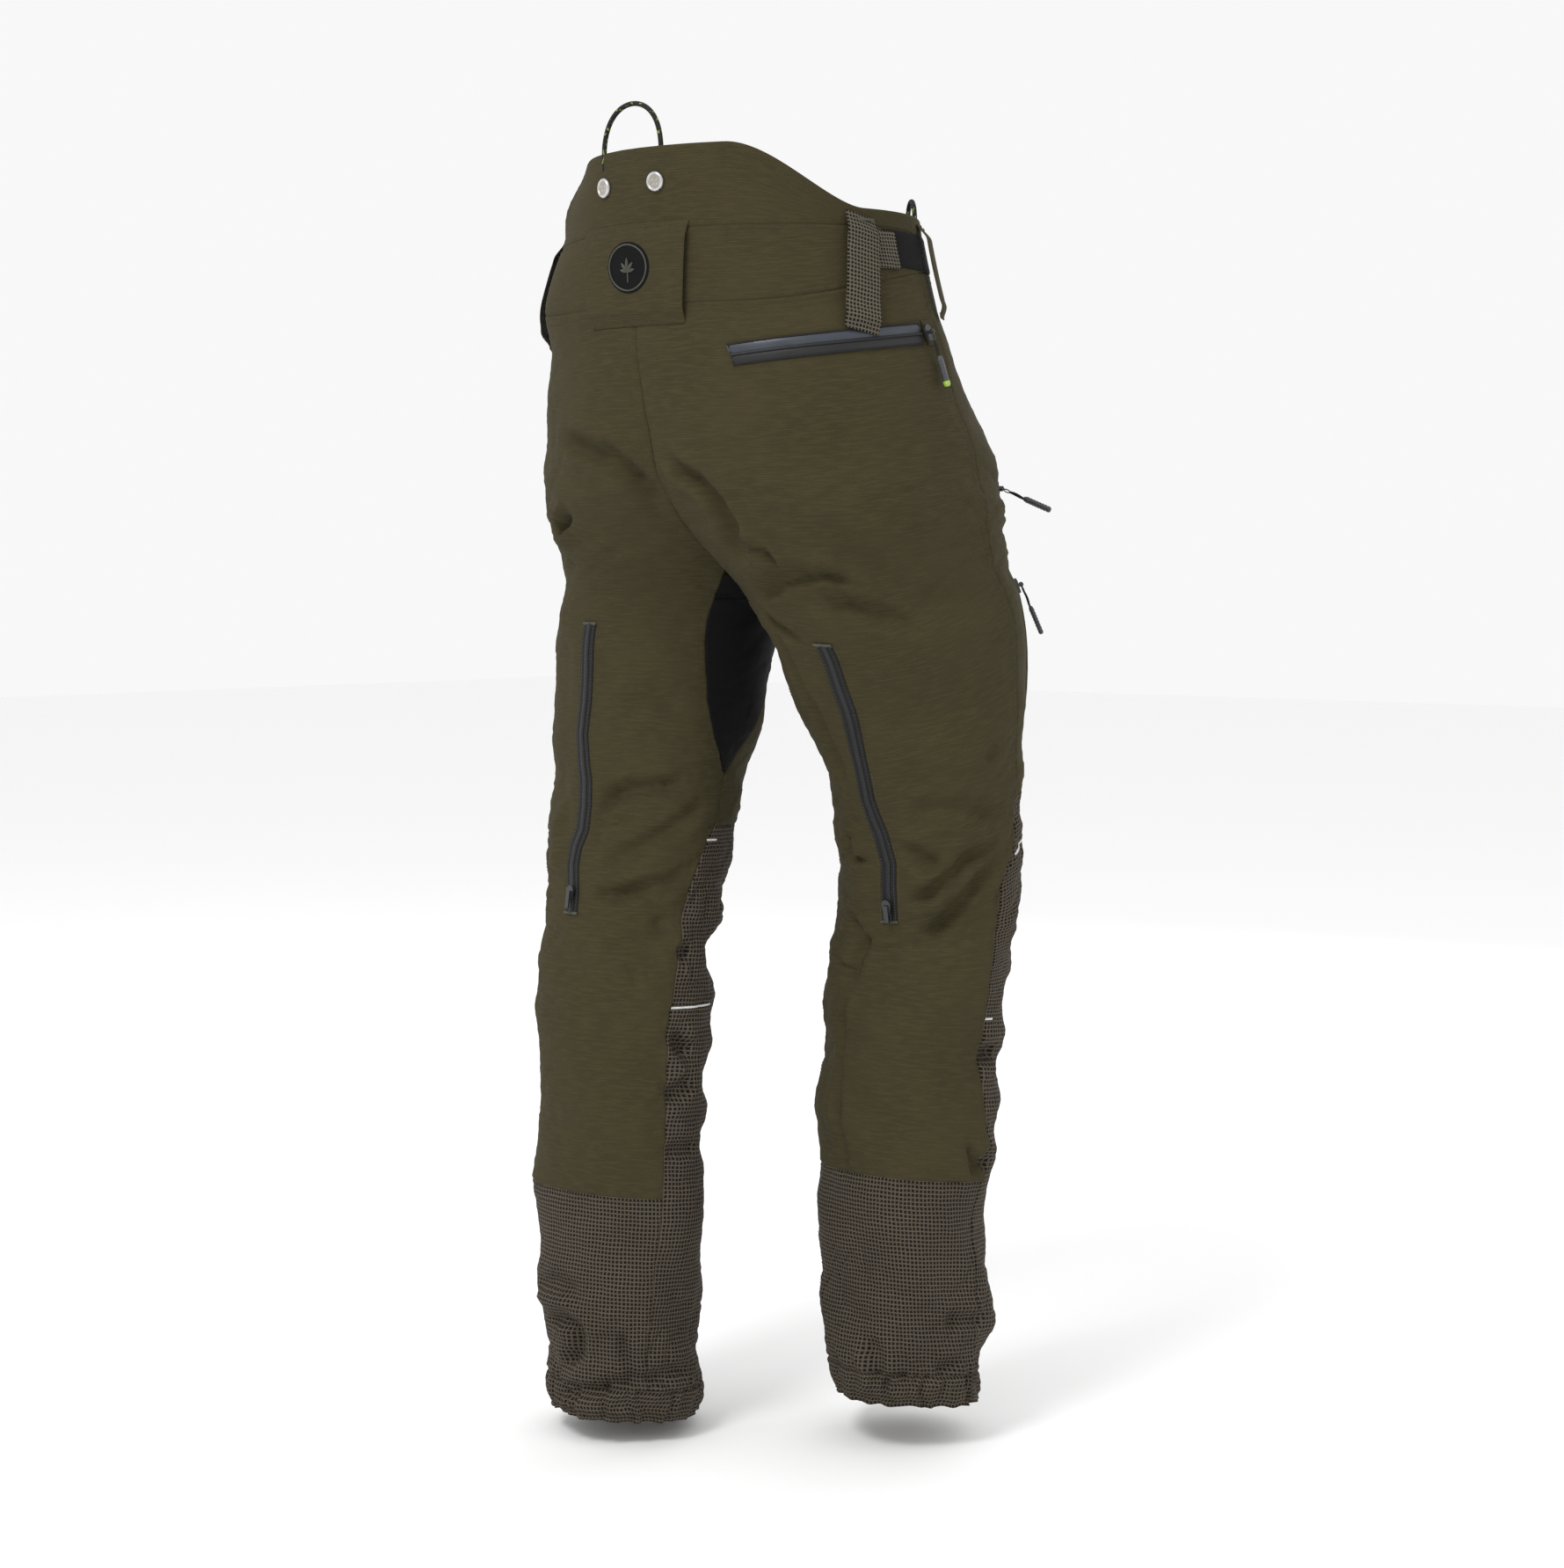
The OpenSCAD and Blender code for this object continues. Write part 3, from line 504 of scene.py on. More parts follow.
def from_line(path):
    """For every cell of the grid: distance to a path of (angle, height) and how far along it, 0 to 1."""
    path = np.array(path, float)
    middle = path[:, 0].mean()
    a = (GRID_A - middle + 180) % 360 - 180 + middle
    best = np.full(GRID_A.shape, 1e9)
    along = np.zeros(GRID_A.shape)
    lengths = [math.hypot((q[0] - p[0]) * per_degree((p[1] + q[1]) / 2), q[1] - p[1])
               for p, q in zip(path[:-1], path[1:])]
    total, done = sum(lengths), 0.0
    for p, q, length in zip(path[:-1], path[1:], lengths):
        scale = per_degree((p[1] + q[1]) / 2)
        dx, dz = (q[0] - p[0]) * scale, q[1] - p[1]
        ux, uz = (a - p[0]) * scale, GRID_Z - p[1]
        t = np.clip((ux * dx + uz * dz) / max(dx * dx + dz * dz, 1e-9), 0, 1)
        far = np.hypot(ux - t * dx, uz - t * dz)
        closer = far < best
        best = np.where(closer, far, best)
        along = np.where(closer, (done + t * length) / total, along)
        done += length
    return best, along


def fold(width, depth, path):
    """A valley with raised banks along a path, dying out towards its ends."""
    far, along = from_line(path)
    x = far / width
    taper = ease(np.minimum(along, 1 - along) * 5 + 0.25)
    return -FOLD_DEPTH * depth * (1 - 0.9 * x**2) * np.exp(-(x**2) / 2) * taper


def bump(angle, z, wide, tall, amount):
    a = (GRID_A - angle + 180) % 360 - 180
    return amount * np.exp(-((a / wide) ** 2 + ((GRID_Z - z) / tall) ** 2) / 2)


def window(low, high, soft):
    return ease((GRID_Z - low) / soft + 0.5) * ease((high - GRID_Z) / soft + 0.5)


random = np.random.default_rng(20)


def wrinkles(length, stretch=1.0, lean=0.0, band=0.35):
    """Smooth noise of one wavelength in millimetres, drawn out along a leaning direction."""
    noise = np.fft.fft2(random.standard_normal(GRID_A.shape))
    kz = np.fft.fftfreq(GRID_A.shape[0], HEIGHT_STEP)[:, None]
    ka = np.fft.fftfreq(GRID_A.shape[1], ANGLE_STEP * 1.6)[None, :]
    turn = math.radians(lean)
    one = kz * math.cos(turn) + ka * math.sin(turn)
    two = (ka * math.cos(turn) - kz * math.sin(turn)) * stretch
    wave = np.hypot(one, two) * length
    result = np.real(np.fft.ifft2(noise * np.exp(-((wave - 1) ** 2) / (2 * band**2))))
    return result / result.std()


# Each fold has a width, a depth and a path of (angle, height)
FOLDS = {
    1: [
        (9, 7, [(69, -142), (82, -152), (93, -162), (104, -178), (112, -192), (117, -200)]),
        (5, 3, [(91, -148), (96, -158), (101, -168), (106, -180)]),
        (7, 11, [(57, -218), (66, -222), (74, -212)]),
        (12, 2.5, [(109, -386), (118, -380), (126, -374), (134, -380), (139, -386)]),
        (8, 5, [(92, -522), (94, -506), (98, -488), (102, -470), (110, -462), (119, -456), (134, -454),
                (151, -450)]),
        (8, 3.5, [(101, -528), (116, -518), (129, -506), (143, -492), (156, -478), (165, -468)]),
        (8, 4.5, [(99, -558), (111, -554), (123, -550), (135, -544), (147, -540), (159, -534)]),
        (4, 2, [(116, -550), (125, -544), (135, -540)]),
        (8, 5, [(78, -472), (74, -490), (69, -506)]),
        (5, 3, [(74, -442), (77, -450), (82, -456)]),
        (14, 3, [(122, -610), (136, -598), (152, -576)]),
        (14, 2.5, [(128, -628), (151, -612)]),
        (9, 7, [(171, -602), (167, -602), (161, -606)]),
        (9, 8, [(179, -694), (174, -690), (168, -684), (164, -676)]),
        (8, 6, [(179, -716), (170, -726), (158, -732)]),
        (8, 4, [(159, -784), (167, -778), (187, -778)]),
        (8, 6, [(64, -948), (83, -940), (95, -948), (94, -970), (81, -988)]),
        (7, 4, [(68, -1014), (107, -1004), (130, -992), (152, -988), (191, -980)]),
        (6, 3.5, [(128, -948), (132, -968), (137, -992)]),
        (9, 4, [(52, -914), (86, -910), (97, -918)]),
        (10, 3, [(-20, -560), (-60, -548), (-100, -556), (-140, -562)]),
        (9, 3, [(-40, -220), (-70, -236), (-110, -262)]),
    ],
    -1: [
        (9, 7, [(103, -162), (99, -174), (93, -184), (91, -198), (92, -212), (96, -230), (104, -250)]),
        (6, 6, [(110, -276), (99, -270), (89, -264), (76, -258), (66, -256), (59, -260), (54, -266)]),
        (5, 4, [(96, -240), (91, -238), (86, -240), (85, -246), (85, -254)]),
        (10, 4, [(74, -278), (64, -278), (58, -286), (50, -294), (43, -306)]),
        (5, 4, [(120, -292), (115, -296), (111, -302), (105, -306), (100, -312), (97, -318)]),
        (4, 2.5, [(97, -306), (90, -306), (82, -308)]),
        (14, 3, [(58, -240), (47, -248), (41, -258)]),
        (6, 3, [(115, -300), (114, -338), (111, -370), (109, -412), (108, -450)]),
        (8, 2.5, [(11, -426), (19, -438)]),
        (8, 6, [(82, -492), (75, -502), (67, -506), (58, -516), (50, -524)]),
        (8, 6, [(12, -514), (22, -518), (35, -522), (43, -532), (55, -540), (66, -548), (75, -552)]),
        (9, 5, [(7, -526), (19, -538), (33, -550), (44, -568), (54, -582), (61, -598)]),
        (10, 3.5, [(69, -472), (56, -468), (41, -472), (25, -484), (11, -492)]),
        (4, 5, [(112, -492), (113, -512), (101, -514), (91, -512), (86, -510)]),
        (7, 5, [(116, -576), (111, -586), (104, -598), (107, -620), (106, -644)]),
        (5, 3, [(127, -618), (116, -632), (109, -642)]),
        (5, 3, [(108, -658), (111, -698), (111, -750), (106, -794), (103, -828)]),
        (6, 4, [(11, -790), (7, -806), (4, -818)]),
        (9, 8, [(-18, -708), (-5, -710), (3, -712)]),
        (8, 7, [(-13, -812), (-5, -806), (3, -812)]),
        (8, 5, [(83, -974), (74, -984), (72, -1002), (63, -1012)]),
        (7, 4, [(20, -958), (15, -950), (-12, -950)]),
        (6, 3, [(60, -978), (56, -998), (54, -1008)]),
        (6, 3, [(29, -998), (8, -982)]),
        (10, 4, [(-30, -560), (-70, -552), (-110, -560)]),
        (9, 4, [(-40, -214), (-75, -226), (-120, -250)]),
    ],
}
# Broad swellings and hollows: angle, height, width in degrees, height, amount
SHAPES = {
    1: [(41, 37, 22, 14, -7), (41, -26, 22, 20, 7), (-139, -346, 25, 30, -5), (-139, -601, 22, 22, -9),
        (-139, -663, 22, 20, 7), (-139, -710, 22, 22, -6), (180, -500, 26, 40, -5),
        (44, 108, 19, 38, -31)],
    -1: [(-41, -190, 24, 40, 6), (139, -618, 24, 26, 6), (-41, -623, 22, 22, -4), (-41, -773, 22, 22, 7)],
}


def make_relief(side):
    """All folds of one side: layers of wrinkles, large to small, then single folds, rolls and pleats."""
    knee = np.exp(-(((GRID_Z + 555) / 85) ** 2) / 2)
    seat = np.exp(-(((GRID_Z + 235) / 62) ** 2) / 2)
    ankle = np.exp(-(((GRID_Z + 950) / 48) ** 2) / 2)
    calf = np.exp(-(((GRID_Z + 720) / 80) ** 2) / 2)
    band = 1 - 0.9 * ease((GRID_Z + 60) / 40)
    busy = 0.28 + 0.9 * np.maximum(knee, np.maximum(0.75 * seat, np.maximum(0.85 * ankle, 0.5 * calf)))
    total = 2.1 * wrinkles(125, 1.3, 15 * side) * band
    total += 1.25 * wrinkles(52, 2.6, 22 * side) * busy * band
    creases = wrinkles(44, 2.2, -28 * side)
    total -= 1.5 * np.exp(-((creases / 0.28) ** 2)) * busy * band
    fine = wrinkles(27, 2.4, 30 * side)
    total -= 0.8 * np.exp(-((fine / 0.3) ** 2)) * (busy - 0.15) * band
    total += 0.4 * wrinkles(17, 2.0, -15 * side) * busy * band
    total += 0.16 * wrinkles(8, 1.6) * (0.35 + busy) * band
    for width, depth, path in FOLDS[side]:
        total += fold(width, depth, path)
    for angle, z, wide, tall, amount in SHAPES[side]:
        total += bump(angle, z, wide, tall, amount)
    front = ease((-20 - GRID_A) / 30 + 0.5) * ease((GRID_A + 160) / 30 + 0.5)
    rolls = np.cos((GRID_Z + 640 + 6 * np.sin(np.radians(GRID_A * 3))) * 2 * math.pi / 58)
    total += 3.2 * rolls * front * window(-800, -560, 60)
    pleats = np.sin(np.radians(GRID_A * 20) + 1.7 * wrinkles(40, 1.0) + 3 * side)
    total += 2.0 * pleats * ease((-962 - GRID_Z) / 48)
    return total


def level_under(side, path, points, end_gap=10.0, fade=26.0):
    """Moves the cloth so that its relief along a path equals the wanted one."""
    far, along = from_line(path)
    wanted = np.interp(along, np.linspace(0, 1, len(points)), points)
    weight = 1 - ease((far - end_gap) / fade)
    relief[side] = relief[side] * (1 - weight) + wanted * weight


SMALL_STEP = 0.05


def height_over(side, spot, point, plain_out):
    """Finds angle, height and distance outward of a point near a spot of the bare cloth."""
    guess = np.array([spot[0], spot[1], plain_out], float)
    for _ in range(12):
        here = surface(side, guess[0], guess[1], guess[2], bare=True)
        near = [surface(side, *(guess + shift), bare=True) for shift in np.eye(3) * SMALL_STEP]
        slopes = np.stack([(spot_near - here) / SMALL_STEP for spot_near in near], -1)
        guess = guess + np.clip(np.linalg.solve(slopes, point - here), -20, 20)
    return guess


def turned(axis, angle, p):
    return np.array(Matrix.Rotation(angle, 3, Vector(axis)) @ Vector(p))


JOINTS = {joint["name"]: joint for joint in frame["record"]["behaviour"]["joints"]}
SLIDER_OUT = 3.2
# The share of a slider's range that takes it to the end of its path
FULL_TRAVEL = 0.94
HAND_ZIP = [(-44, -190), (-58, -70)]
THIGH_ZIP = [(-48, -314), (-46, -440)]
VENT_ZIP = [(84, -562), (87, -305)]
REAR_ZIP = [(-2, -59), (66, -80)]


def rear_zip_z(angle):
    """Height of the rear pocket's zip, which is straight, at an angle."""
    return np.interp(angle, [spot[0] for spot in REAR_ZIP], [spot[1] for spot in REAR_ZIP])


def rear_zip_path(angles):
    return [(float(angle), float(rear_zip_z(angle))) for angle in angles]


ZIPS = [(side, SIDES[side] + "_" + kind + "_zip", path) for side in SIDES
        for kind, path in (("hand", HAND_ZIP), ("thigh", THIGH_ZIP), ("vent", VENT_ZIP))]
ZIPS.append((-1, "rear_zip", REAR_ZIP))


def clear_zip_tracks():
    """Keeps the cloth just under the arc that each slider travels on."""
    for side, name, path in ZIPS:
        joint = JOINTS[name]
        centre = np.array(joint["pos_m"]) * 1000
        start = cad_point(side, *path[0], SLIDER_OUT)
        reach = math.radians(joint["range_deg"][1])
        track, wanted = [], []
        for t in np.linspace(0, 1, 9):
            spot = np.array(path[0]) * (1 - t) + np.array(path[1]) * t
            point = centre + turned(joint["axis"], reach * t / FULL_TRAVEL, start - centre)
            angle, z, out = height_over(side, spot, point, SLIDER_OUT)
            track.append((angle, z))
            wanted.append(out - SLIDER_OUT)
        level_under(side, path, wanted)


for side in SIDES:
    relief[side] = make_relief(side)
clear_zip_tracks()

# ---- Meshes ----

pieces = {}


def make_mesh(name, points, faces, material, uv=None, smooth_angle=50.0):
    """A mesh object from points in millimetres."""
    mesh = bpy.data.meshes.new(name)
    mesh.from_pydata((np.asarray(points) / 1000).tolist(), [], [tuple(int(i) for i in f) for f in faces])
    mesh.validate()
    if uv is None:
        uv = np.asarray(points)[:, :2]
    layer = mesh.uv_layers.new(name="UVMap")
    corner = np.zeros(len(mesh.loops), dtype=np.int32)
    mesh.loops.foreach_get("vertex_index", corner)
    layer.data.foreach_set("uv", (np.asarray(uv, float)[corner] / 1000).astype(np.float32).ravel())
    mesh.polygons.foreach_set("use_smooth", [True] * len(mesh.polygons))
    mesh.set_sharp_from_angle(angle=math.radians(smooth_angle))
    mesh.materials.append(material)
    obj = bpy.data.objects.new(name, mesh)
    bpy.context.scene.collection.objects.link(obj)
    pieces[name] = obj
    return obj


def join_parts(parts):
    """One list of points, faces and UVs from several."""
    points, faces, uvs, start = [], [], [], 0
    for p, f, uv in parts:
        points.append(np.asarray(p, float))
        uvs.append(np.asarray(uv, float))
        faces.extend([tuple(i + start for i in face) for face in f])
        start += len(p)
    return np.concatenate(points), faces, np.concatenate(uvs)


def shell_faces(rows, columns, flip, closed=False):
    """Faces of a two-layer grid with its rim, outer layer first. The outer layer faces out."""
    size = rows * columns
    last = columns if closed else columns - 1
    faces = []
    for j in range(rows - 1):
        for i in range(last):
            k = (i + 1) % columns
            a, b, c, d = j * columns + i, j * columns + k, (j + 1) * columns + k, (j + 1) * columns + i
            faces.append((a, b, c, d))
            faces.append((a + size, d + size, c + size, b + size))
    for i in range(last):
        k = (i + 1) % columns
        faces.append((i, i + size, k + size, k))
        top = (rows - 1) * columns
        faces.append((top + i, top + k, top + k + size, top + i + size))
    if not closed:
        for j in range(rows - 1):
            a, d = j * columns, (j + 1) * columns
            faces.append((a, d, d + size, a + size))
            b, c = a + columns - 1, d + columns - 1
            faces.append((b, b + size, c + size, c))
    return [tuple(reversed(f)) for f in faces] if flip else faces


EDGE_STEPS = np.array([0, 0.7, 1.6, 2.6, 4.0, 6.0, 8.5])


def graded(length, pitch, first=True, last=True):
    """Fractions along a length, closer together at its seams."""
    low = EDGE_STEPS / length if first and length > 40 else np.array([0.0])
    high = 1 - EDGE_STEPS[::-1] / length if last and length > 40 else np.array([1.0])
    count = max(2, int(round((high[0] - low[-1]) * length / pitch)))
    return np.concatenate([low[:-1], np.linspace(low[-1], high[0], count + 1), high[1:]])


def lengths_along(points, axis):
    step = np.linalg.norm(np.diff(points, axis=axis), axis=-1)
    zero = np.zeros_like(np.take(step, [0], axis=axis))
    return np.concatenate([zero, np.cumsum(step, axis=axis)], axis=axis)


def cloth_shell(name, place, across, up, material, seams="LRBT", outer=0.0, thick=1.2, flip=False,
                pucker=0.35):
    """A closed cloth panel. place(s, t, out) gives its points. seams names the sewn edges, left,
    right, bottom and top, where the cloth rolls down into the seam and puckers."""
    s, t = np.meshgrid(across, up)
    flat = place(s, t, np.zeros_like(s), True)
    wide, tall = lengths_along(flat, 1), lengths_along(flat, 0)
    # Distance from each edge and distance along it
    edges = {"L": (wide, tall), "R": (wide[:, -1:] - wide, tall),
             "B": (tall, wide), "T": (tall[-1:] - tall, wide)}
    out = np.full(s.shape, float(outer))
    for k, (key, (far, run)) in enumerate(edges.items()):
        if key in seams:
            out -= 0.85 * (1 - np.clip(far / 2.0, 0, 1)) ** 2
            ripple = np.sin(run * 2 * math.pi / 11 + 2 * np.sin(run / 17 + k))
            ripple = ripple + 0.6 * np.sin(run * 2 * math.pi / 6.3)
            out += pucker * ripple * ease(far / 3) * np.exp(-far / 6)
    top = place(s, t, out, False)
    low = place(s, t, np.full(s.shape, outer - thick) + 0.4 * (out - outer), False)
    level = np.repeat(tall[:, tall.shape[1] // 2][:, None], s.shape[1], 1)
    uv = np.stack([wide - wide[:, -1:] / 2, level], -1)
    points = np.concatenate([top.reshape(-1, 3), low.reshape(-1, 3)])
    uvs = np.concatenate([uv.reshape(-1, 2), uv.reshape(-1, 2)])
    return make_mesh(name, points, shell_faces(*s.shape, flip), material, uvs)


def leg_place(side, start, end, bottom, top, low, high):
    """place() of a panel between two seams, which are functions of height, and two edges, which are
    functions of angle. low and high are heights at which the seams are read for the edges."""
    def place(s, t, out, bare):
        low_angle = start(low) * (1 - s) + end(low) * s
        high_angle = start(high) * (1 - s) + end(high) * s
        z = bottom(low_angle) * (1 - t) + top(high_angle) * t
        return surface(side, start(z) * (1 - s) + end(z) * s, z, out, bare)
    return place


def leg_panel(name, side, start, end, bottom, top, low, high, material, pitch=3.2, seams="LRBT", outer=0.0,
              thick=1.2, pucker=0.35):
    place = leg_place(side, start, end, bottom, top, low, high)
    line = np.linspace(0, 1, 30)
    middle = place(line, np.full(30, 0.5), np.zeros(30), True)
    upright = place(np.full(30, 0.5), line, np.zeros(30), True)
    wide = np.linalg.norm(np.diff(middle, axis=0), axis=1).sum()
    tall = np.linalg.norm(np.diff(upright, axis=0), axis=1).sum()
    across = graded(wide, pitch, "L" in seams, "R" in seams)
    up = graded(tall, pitch, "B" in seams, "T" in seams)
    return cloth_shell(name, place, across, up, material, seams, outer, thick, side > 0, pucker)


def back_place(end_angle, bottom, top):
    """place() of a piece that crosses the centre back, from the left side round to the right."""
    def place(s, t, out, bare):
        q = 1 - 2 * s
        side = np.where(q < 0, -1, 1)
        nominal = 90 + (end_angle - 90) * np.abs(q)
        z = bottom(nominal) * (1 - t) + top(nominal) * t
        angle = limit(z) + (end_angle - limit(z)) * np.abs(q)
        left, right = surface(1, angle, z, out, bare), surface(-1, angle, z, out, bare)
        return np.where((side > 0)[..., None], left, right)
    return place


def unroll(path):
    """A path of (angle, height), the same path laid flat, and the run along it in millimetres."""
    path = np.array(path, float)
    scale = per_degree(path[:, 1])
    across = np.cumsum(np.r_[0, np.diff(path[:, 0]) * (scale[1:] + scale[:-1]) / 2])
    flat = np.stack([across, path[:, 1]], -1)
    run = np.r_[0, np.cumsum(np.linalg.norm(np.diff(flat, axis=0), axis=1))]
    return path, flat, run


def follow(path, flat, run, at):
    """Angle, height and direction at some distances along an unrolled path."""
    a, z = np.interp(at, run, path[:, 0]), np.interp(at, run, path[:, 1])
    slope = np.stack([np.gradient(np.interp(at, run, flat[:, 0]), at), np.gradient(z, at)], -1)
    return a, z, slope / np.linalg.norm(slope, axis=1)[:, None]


def ribbon_parts(side, path, shift, width, inner, outer, pitch=3.0, lift=None, columns=None, bow=0.0):
    """Points, faces and UVs of a strip of cloth along a path of (angle, height)."""
    path, flat, run = unroll(path)
    count = max(3, int(run[-1] / pitch) + 1)
    at = np.linspace(0, run[-1], count)
    a, z, slope = follow(path, flat, run, at)
    columns = columns or max(3, int(width / 2.5) + 1)
    offsets = shift + np.linspace(-width / 2, width / 2, columns)
    mm = per_degree(z)[:, None]
    grid_a = a[:, None] - slope[:, 1:] * offsets[None] / mm
    grid_z = z[:, None] + slope[:, :1] * offsets[None]
    grid_u = np.repeat(offsets[None], count, 0)
    t = (at / run[-1])[:, None] + 0 * grid_u
    raised = (lift(t) if lift else 0.0) + bow * (1 - ((grid_u - shift) / (width / 2)) ** 2)
    edge = np.minimum(1, (width / 2 - np.abs(grid_u - shift)) / 1.2 + 0.45)
    top = surface(side, grid_a, grid_z, inner + (outer - inner) * edge + raised)
    low = surface(side, grid_a, grid_z, inner + raised)
    points = np.concatenate([top.reshape(-1, 3), low.reshape(-1, 3)])
    uv = np.stack([grid_u, np.repeat(at[:, None], columns, 1)], -1).reshape(-1, 2)
    normal = np.cross(top[0, 1] - top[0, 0], top[1, 0] - top[0, 0])
    outward = surface(side, a[0], z[0], 5.0) - surface(side, a[0], z[0], 0.0)
    return points, shell_faces(count, columns, normal @ outward < 0), np.concatenate([uv, uv])


def ring_faces(rows, sides):
    """Faces of a row of rings, closed at both ends."""
    faces = []
    for j in range(rows - 1):
        low, high = j * sides, (j + 1) * sides
        for i in range(sides):
            k = (i + 1) % sides
            faces.append((low + i, low + k, high + k, high + i))
    faces.append(tuple(reversed(range(sides))))
    faces.append(tuple((rows - 1) * sides + i for i in range(sides)))
    return faces


def tube_parts(route, radius, sides=12):
    """A round tube along a route. radius is one number or one for each point."""
    route = np.asarray(route, float)
    radius = np.broadcast_to(np.asarray(radius, float), (len(route),))
    heading = np.gradient(route, axis=0)
    heading /= np.linalg.norm(heading, axis=1)[:, None]
    normal = np.cross(heading[0], [0.3, 0.5, 0.81])
    normal /= np.linalg.norm(normal)
    run = np.r_[0, np.cumsum(np.linalg.norm(np.diff(route, axis=0), axis=1))]
    turn = np.linspace(0, 2 * math.pi, sides, endpoint=False)
    points, uv = [], []
    for p, h, r, along in zip(route, heading, radius, run):
        normal = normal - h * (normal @ h)
        normal /= np.linalg.norm(normal)
        other = np.cross(h, normal)
        points.append(p + r * (np.cos(turn)[:, None] * normal + np.sin(turn)[:, None] * other))
        uv.append(np.stack([turn * r, np.full(sides, along)], -1))
    return np.concatenate(points), ring_faces(len(route), sides), np.concatenate(uv)


def lathe_parts(profile, sides=40, centre=(0, 0)):
    """A profile of (radius, height) turned about the local Z axis, closed at both ends."""
    turn = np.linspace(0, 2 * math.pi, sides, endpoint=False)
    points, uv = [], []
    for r, h in profile:
        x, y = centre[0] + r * np.cos(turn), centre[1] + r * np.sin(turn)
        points.append(np.stack([x, y, np.full(sides, h)], -1))
        uv.append(points[-1][:, :2])
    return np.concatenate(points), ring_faces(len(profile), sides), np.concatenate(uv)


def loft_parts(stations, power=3.0, sides=24):
    """A closed body of rounded-rectangle sections, each (y, half width, half thickness, z)."""
    turn = np.linspace(0, 2 * math.pi, sides, endpoint=False)
    cx, cz = np.cos(turn), np.sin(turn)
    px, pz = np.sign(cx) * np.abs(cx) ** (2 / power), np.sign(cz) * np.abs(cz) ** (2 / power)
    points = [np.stack([w * px, np.full(sides, y), z + h * pz], -1) for y, w, h, z in stations]
    faces = []
    for j in range(len(stations) - 1):
        low, high = j * sides, (j + 1) * sides
        for i in range(sides):
            k = (i + 1) % sides
            faces.append((low + i, high + i, high + k, low + k))
    faces.append(tuple(range(sides)))
    faces.append(tuple(reversed([(len(stations) - 1) * sides + i for i in range(sides)])))
    points = np.concatenate(points)
    if stations[0][0] > stations[-1][0]:
        return points, faces, points[:, :2]
    return points, [tuple(reversed(f)) for f in faces], points[:, :2]


def moved(parts, origin, right, up, outward):
    points, faces, uv = parts
    return np.asarray(points) @ np.stack([right, up, outward]) + origin, faces, uv


def spot_frame(side, angle, z, out):
    """Origin, right, up and outward of flat hardware on the cloth."""
    origin = surface(side, angle, z, out)
    up = surface(side, angle, z + 4, out) - surface(side, angle, z - 4, out)
    up /= np.linalg.norm(up)
    across = side * (surface(side, angle + 2, z, out) - surface(side, angle - 2, z, out))
    outward = np.cross(across, up)
    outward /= np.linalg.norm(outward)
    return origin, np.cross(up, outward), up, outward


# ---- What each piece rides on: a body at the waist and shins, while pieces over the hips and knees stay where they are made ----


def on_body(obj, body, nodes=()):
    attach(obj, body)
    if nodes:
        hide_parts(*nodes)


def over_hip(obj, side, slot, nodes=()):
    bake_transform(obj)
    if nodes:
        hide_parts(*nodes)


def over_knee(obj, side, slot, nodes=()):
    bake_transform(obj)
    if nodes:
        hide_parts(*nodes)


def on_upper(obj, side, slot, nodes=()):
    on_body(obj, "upper", nodes)


def on_shin(obj, side, slot, nodes=()):
    on_body(obj, SIDES[side] + "_shin", nodes)


MOVES = {"hip": over_hip, "knee": over_knee, "upper": on_upper, "shin": on_shin}


def add(name, parts, material, body, nodes=()):
    """A piece made of points, faces and UVs, riding on one body."""
    points, faces, uv = parts
    obj = make_mesh(name, points, faces, material, uv)
    on_body(obj, body, nodes)
    return obj


def top_edge(angle):
    return 42 + 53 * ease((np.asarray(angle, float) - 14) / 44)


def band_bottom(angle):
    return -35 + 32 * ease((60 - np.asarray(angle, float)) / 90)


def side_seam(z):
    return np.interp(z, SIDE_SEAM[:, 0], SIDE_SEAM[:, 1])


def gusset_spread(z):
    return np.interp(z, GUSSET[:, 0], GUSSET[:, 1])


def gusset_back(z):
    return 180 - gusset_spread(z)


def gusset_front(z):
    return 180 + gusset_spread(z)


def rise_edge(z):
    """The inner edge of a gusset's rise, at the middle plane."""
    return np.maximum(limit(z), gusset_back(z))


def inseam(z):
    z = np.asarray(z, float)
    above = np.minimum(limit(z), gusset_back(z))
    return np.where(z > INSEAM_TOP, above, np.interp(z, INSEAM_BELOW[:, 0], INSEAM_BELOW[:, 1]))


def front_seam(z):
    """The front panel's inner edge, by angles that run the other way round from the outer side."""
    return np.where(np.asarray(z) > INSEAM_TOP, -inseam(z), inseam(z) - 360)


def flat_line(height):
    return lambda angle: height + 0 * np.asarray(angle, float)


def fixed(angle):
    return lambda z: angle + 0 * np.asarray(z, float)


SHEETS = []
WAIST_SEAM = -11.0


def panel(name, side, shape, cloth, move, slot, nodes, held="hung", **options):
    """A panel of one leg. shape is its two seams, its lower and upper edges and their heights."""
    obj = leg_panel(name, side, *shape, cloth, **options)
    move(obj, side, slot, nodes)
    SHEETS.append((obj, held))


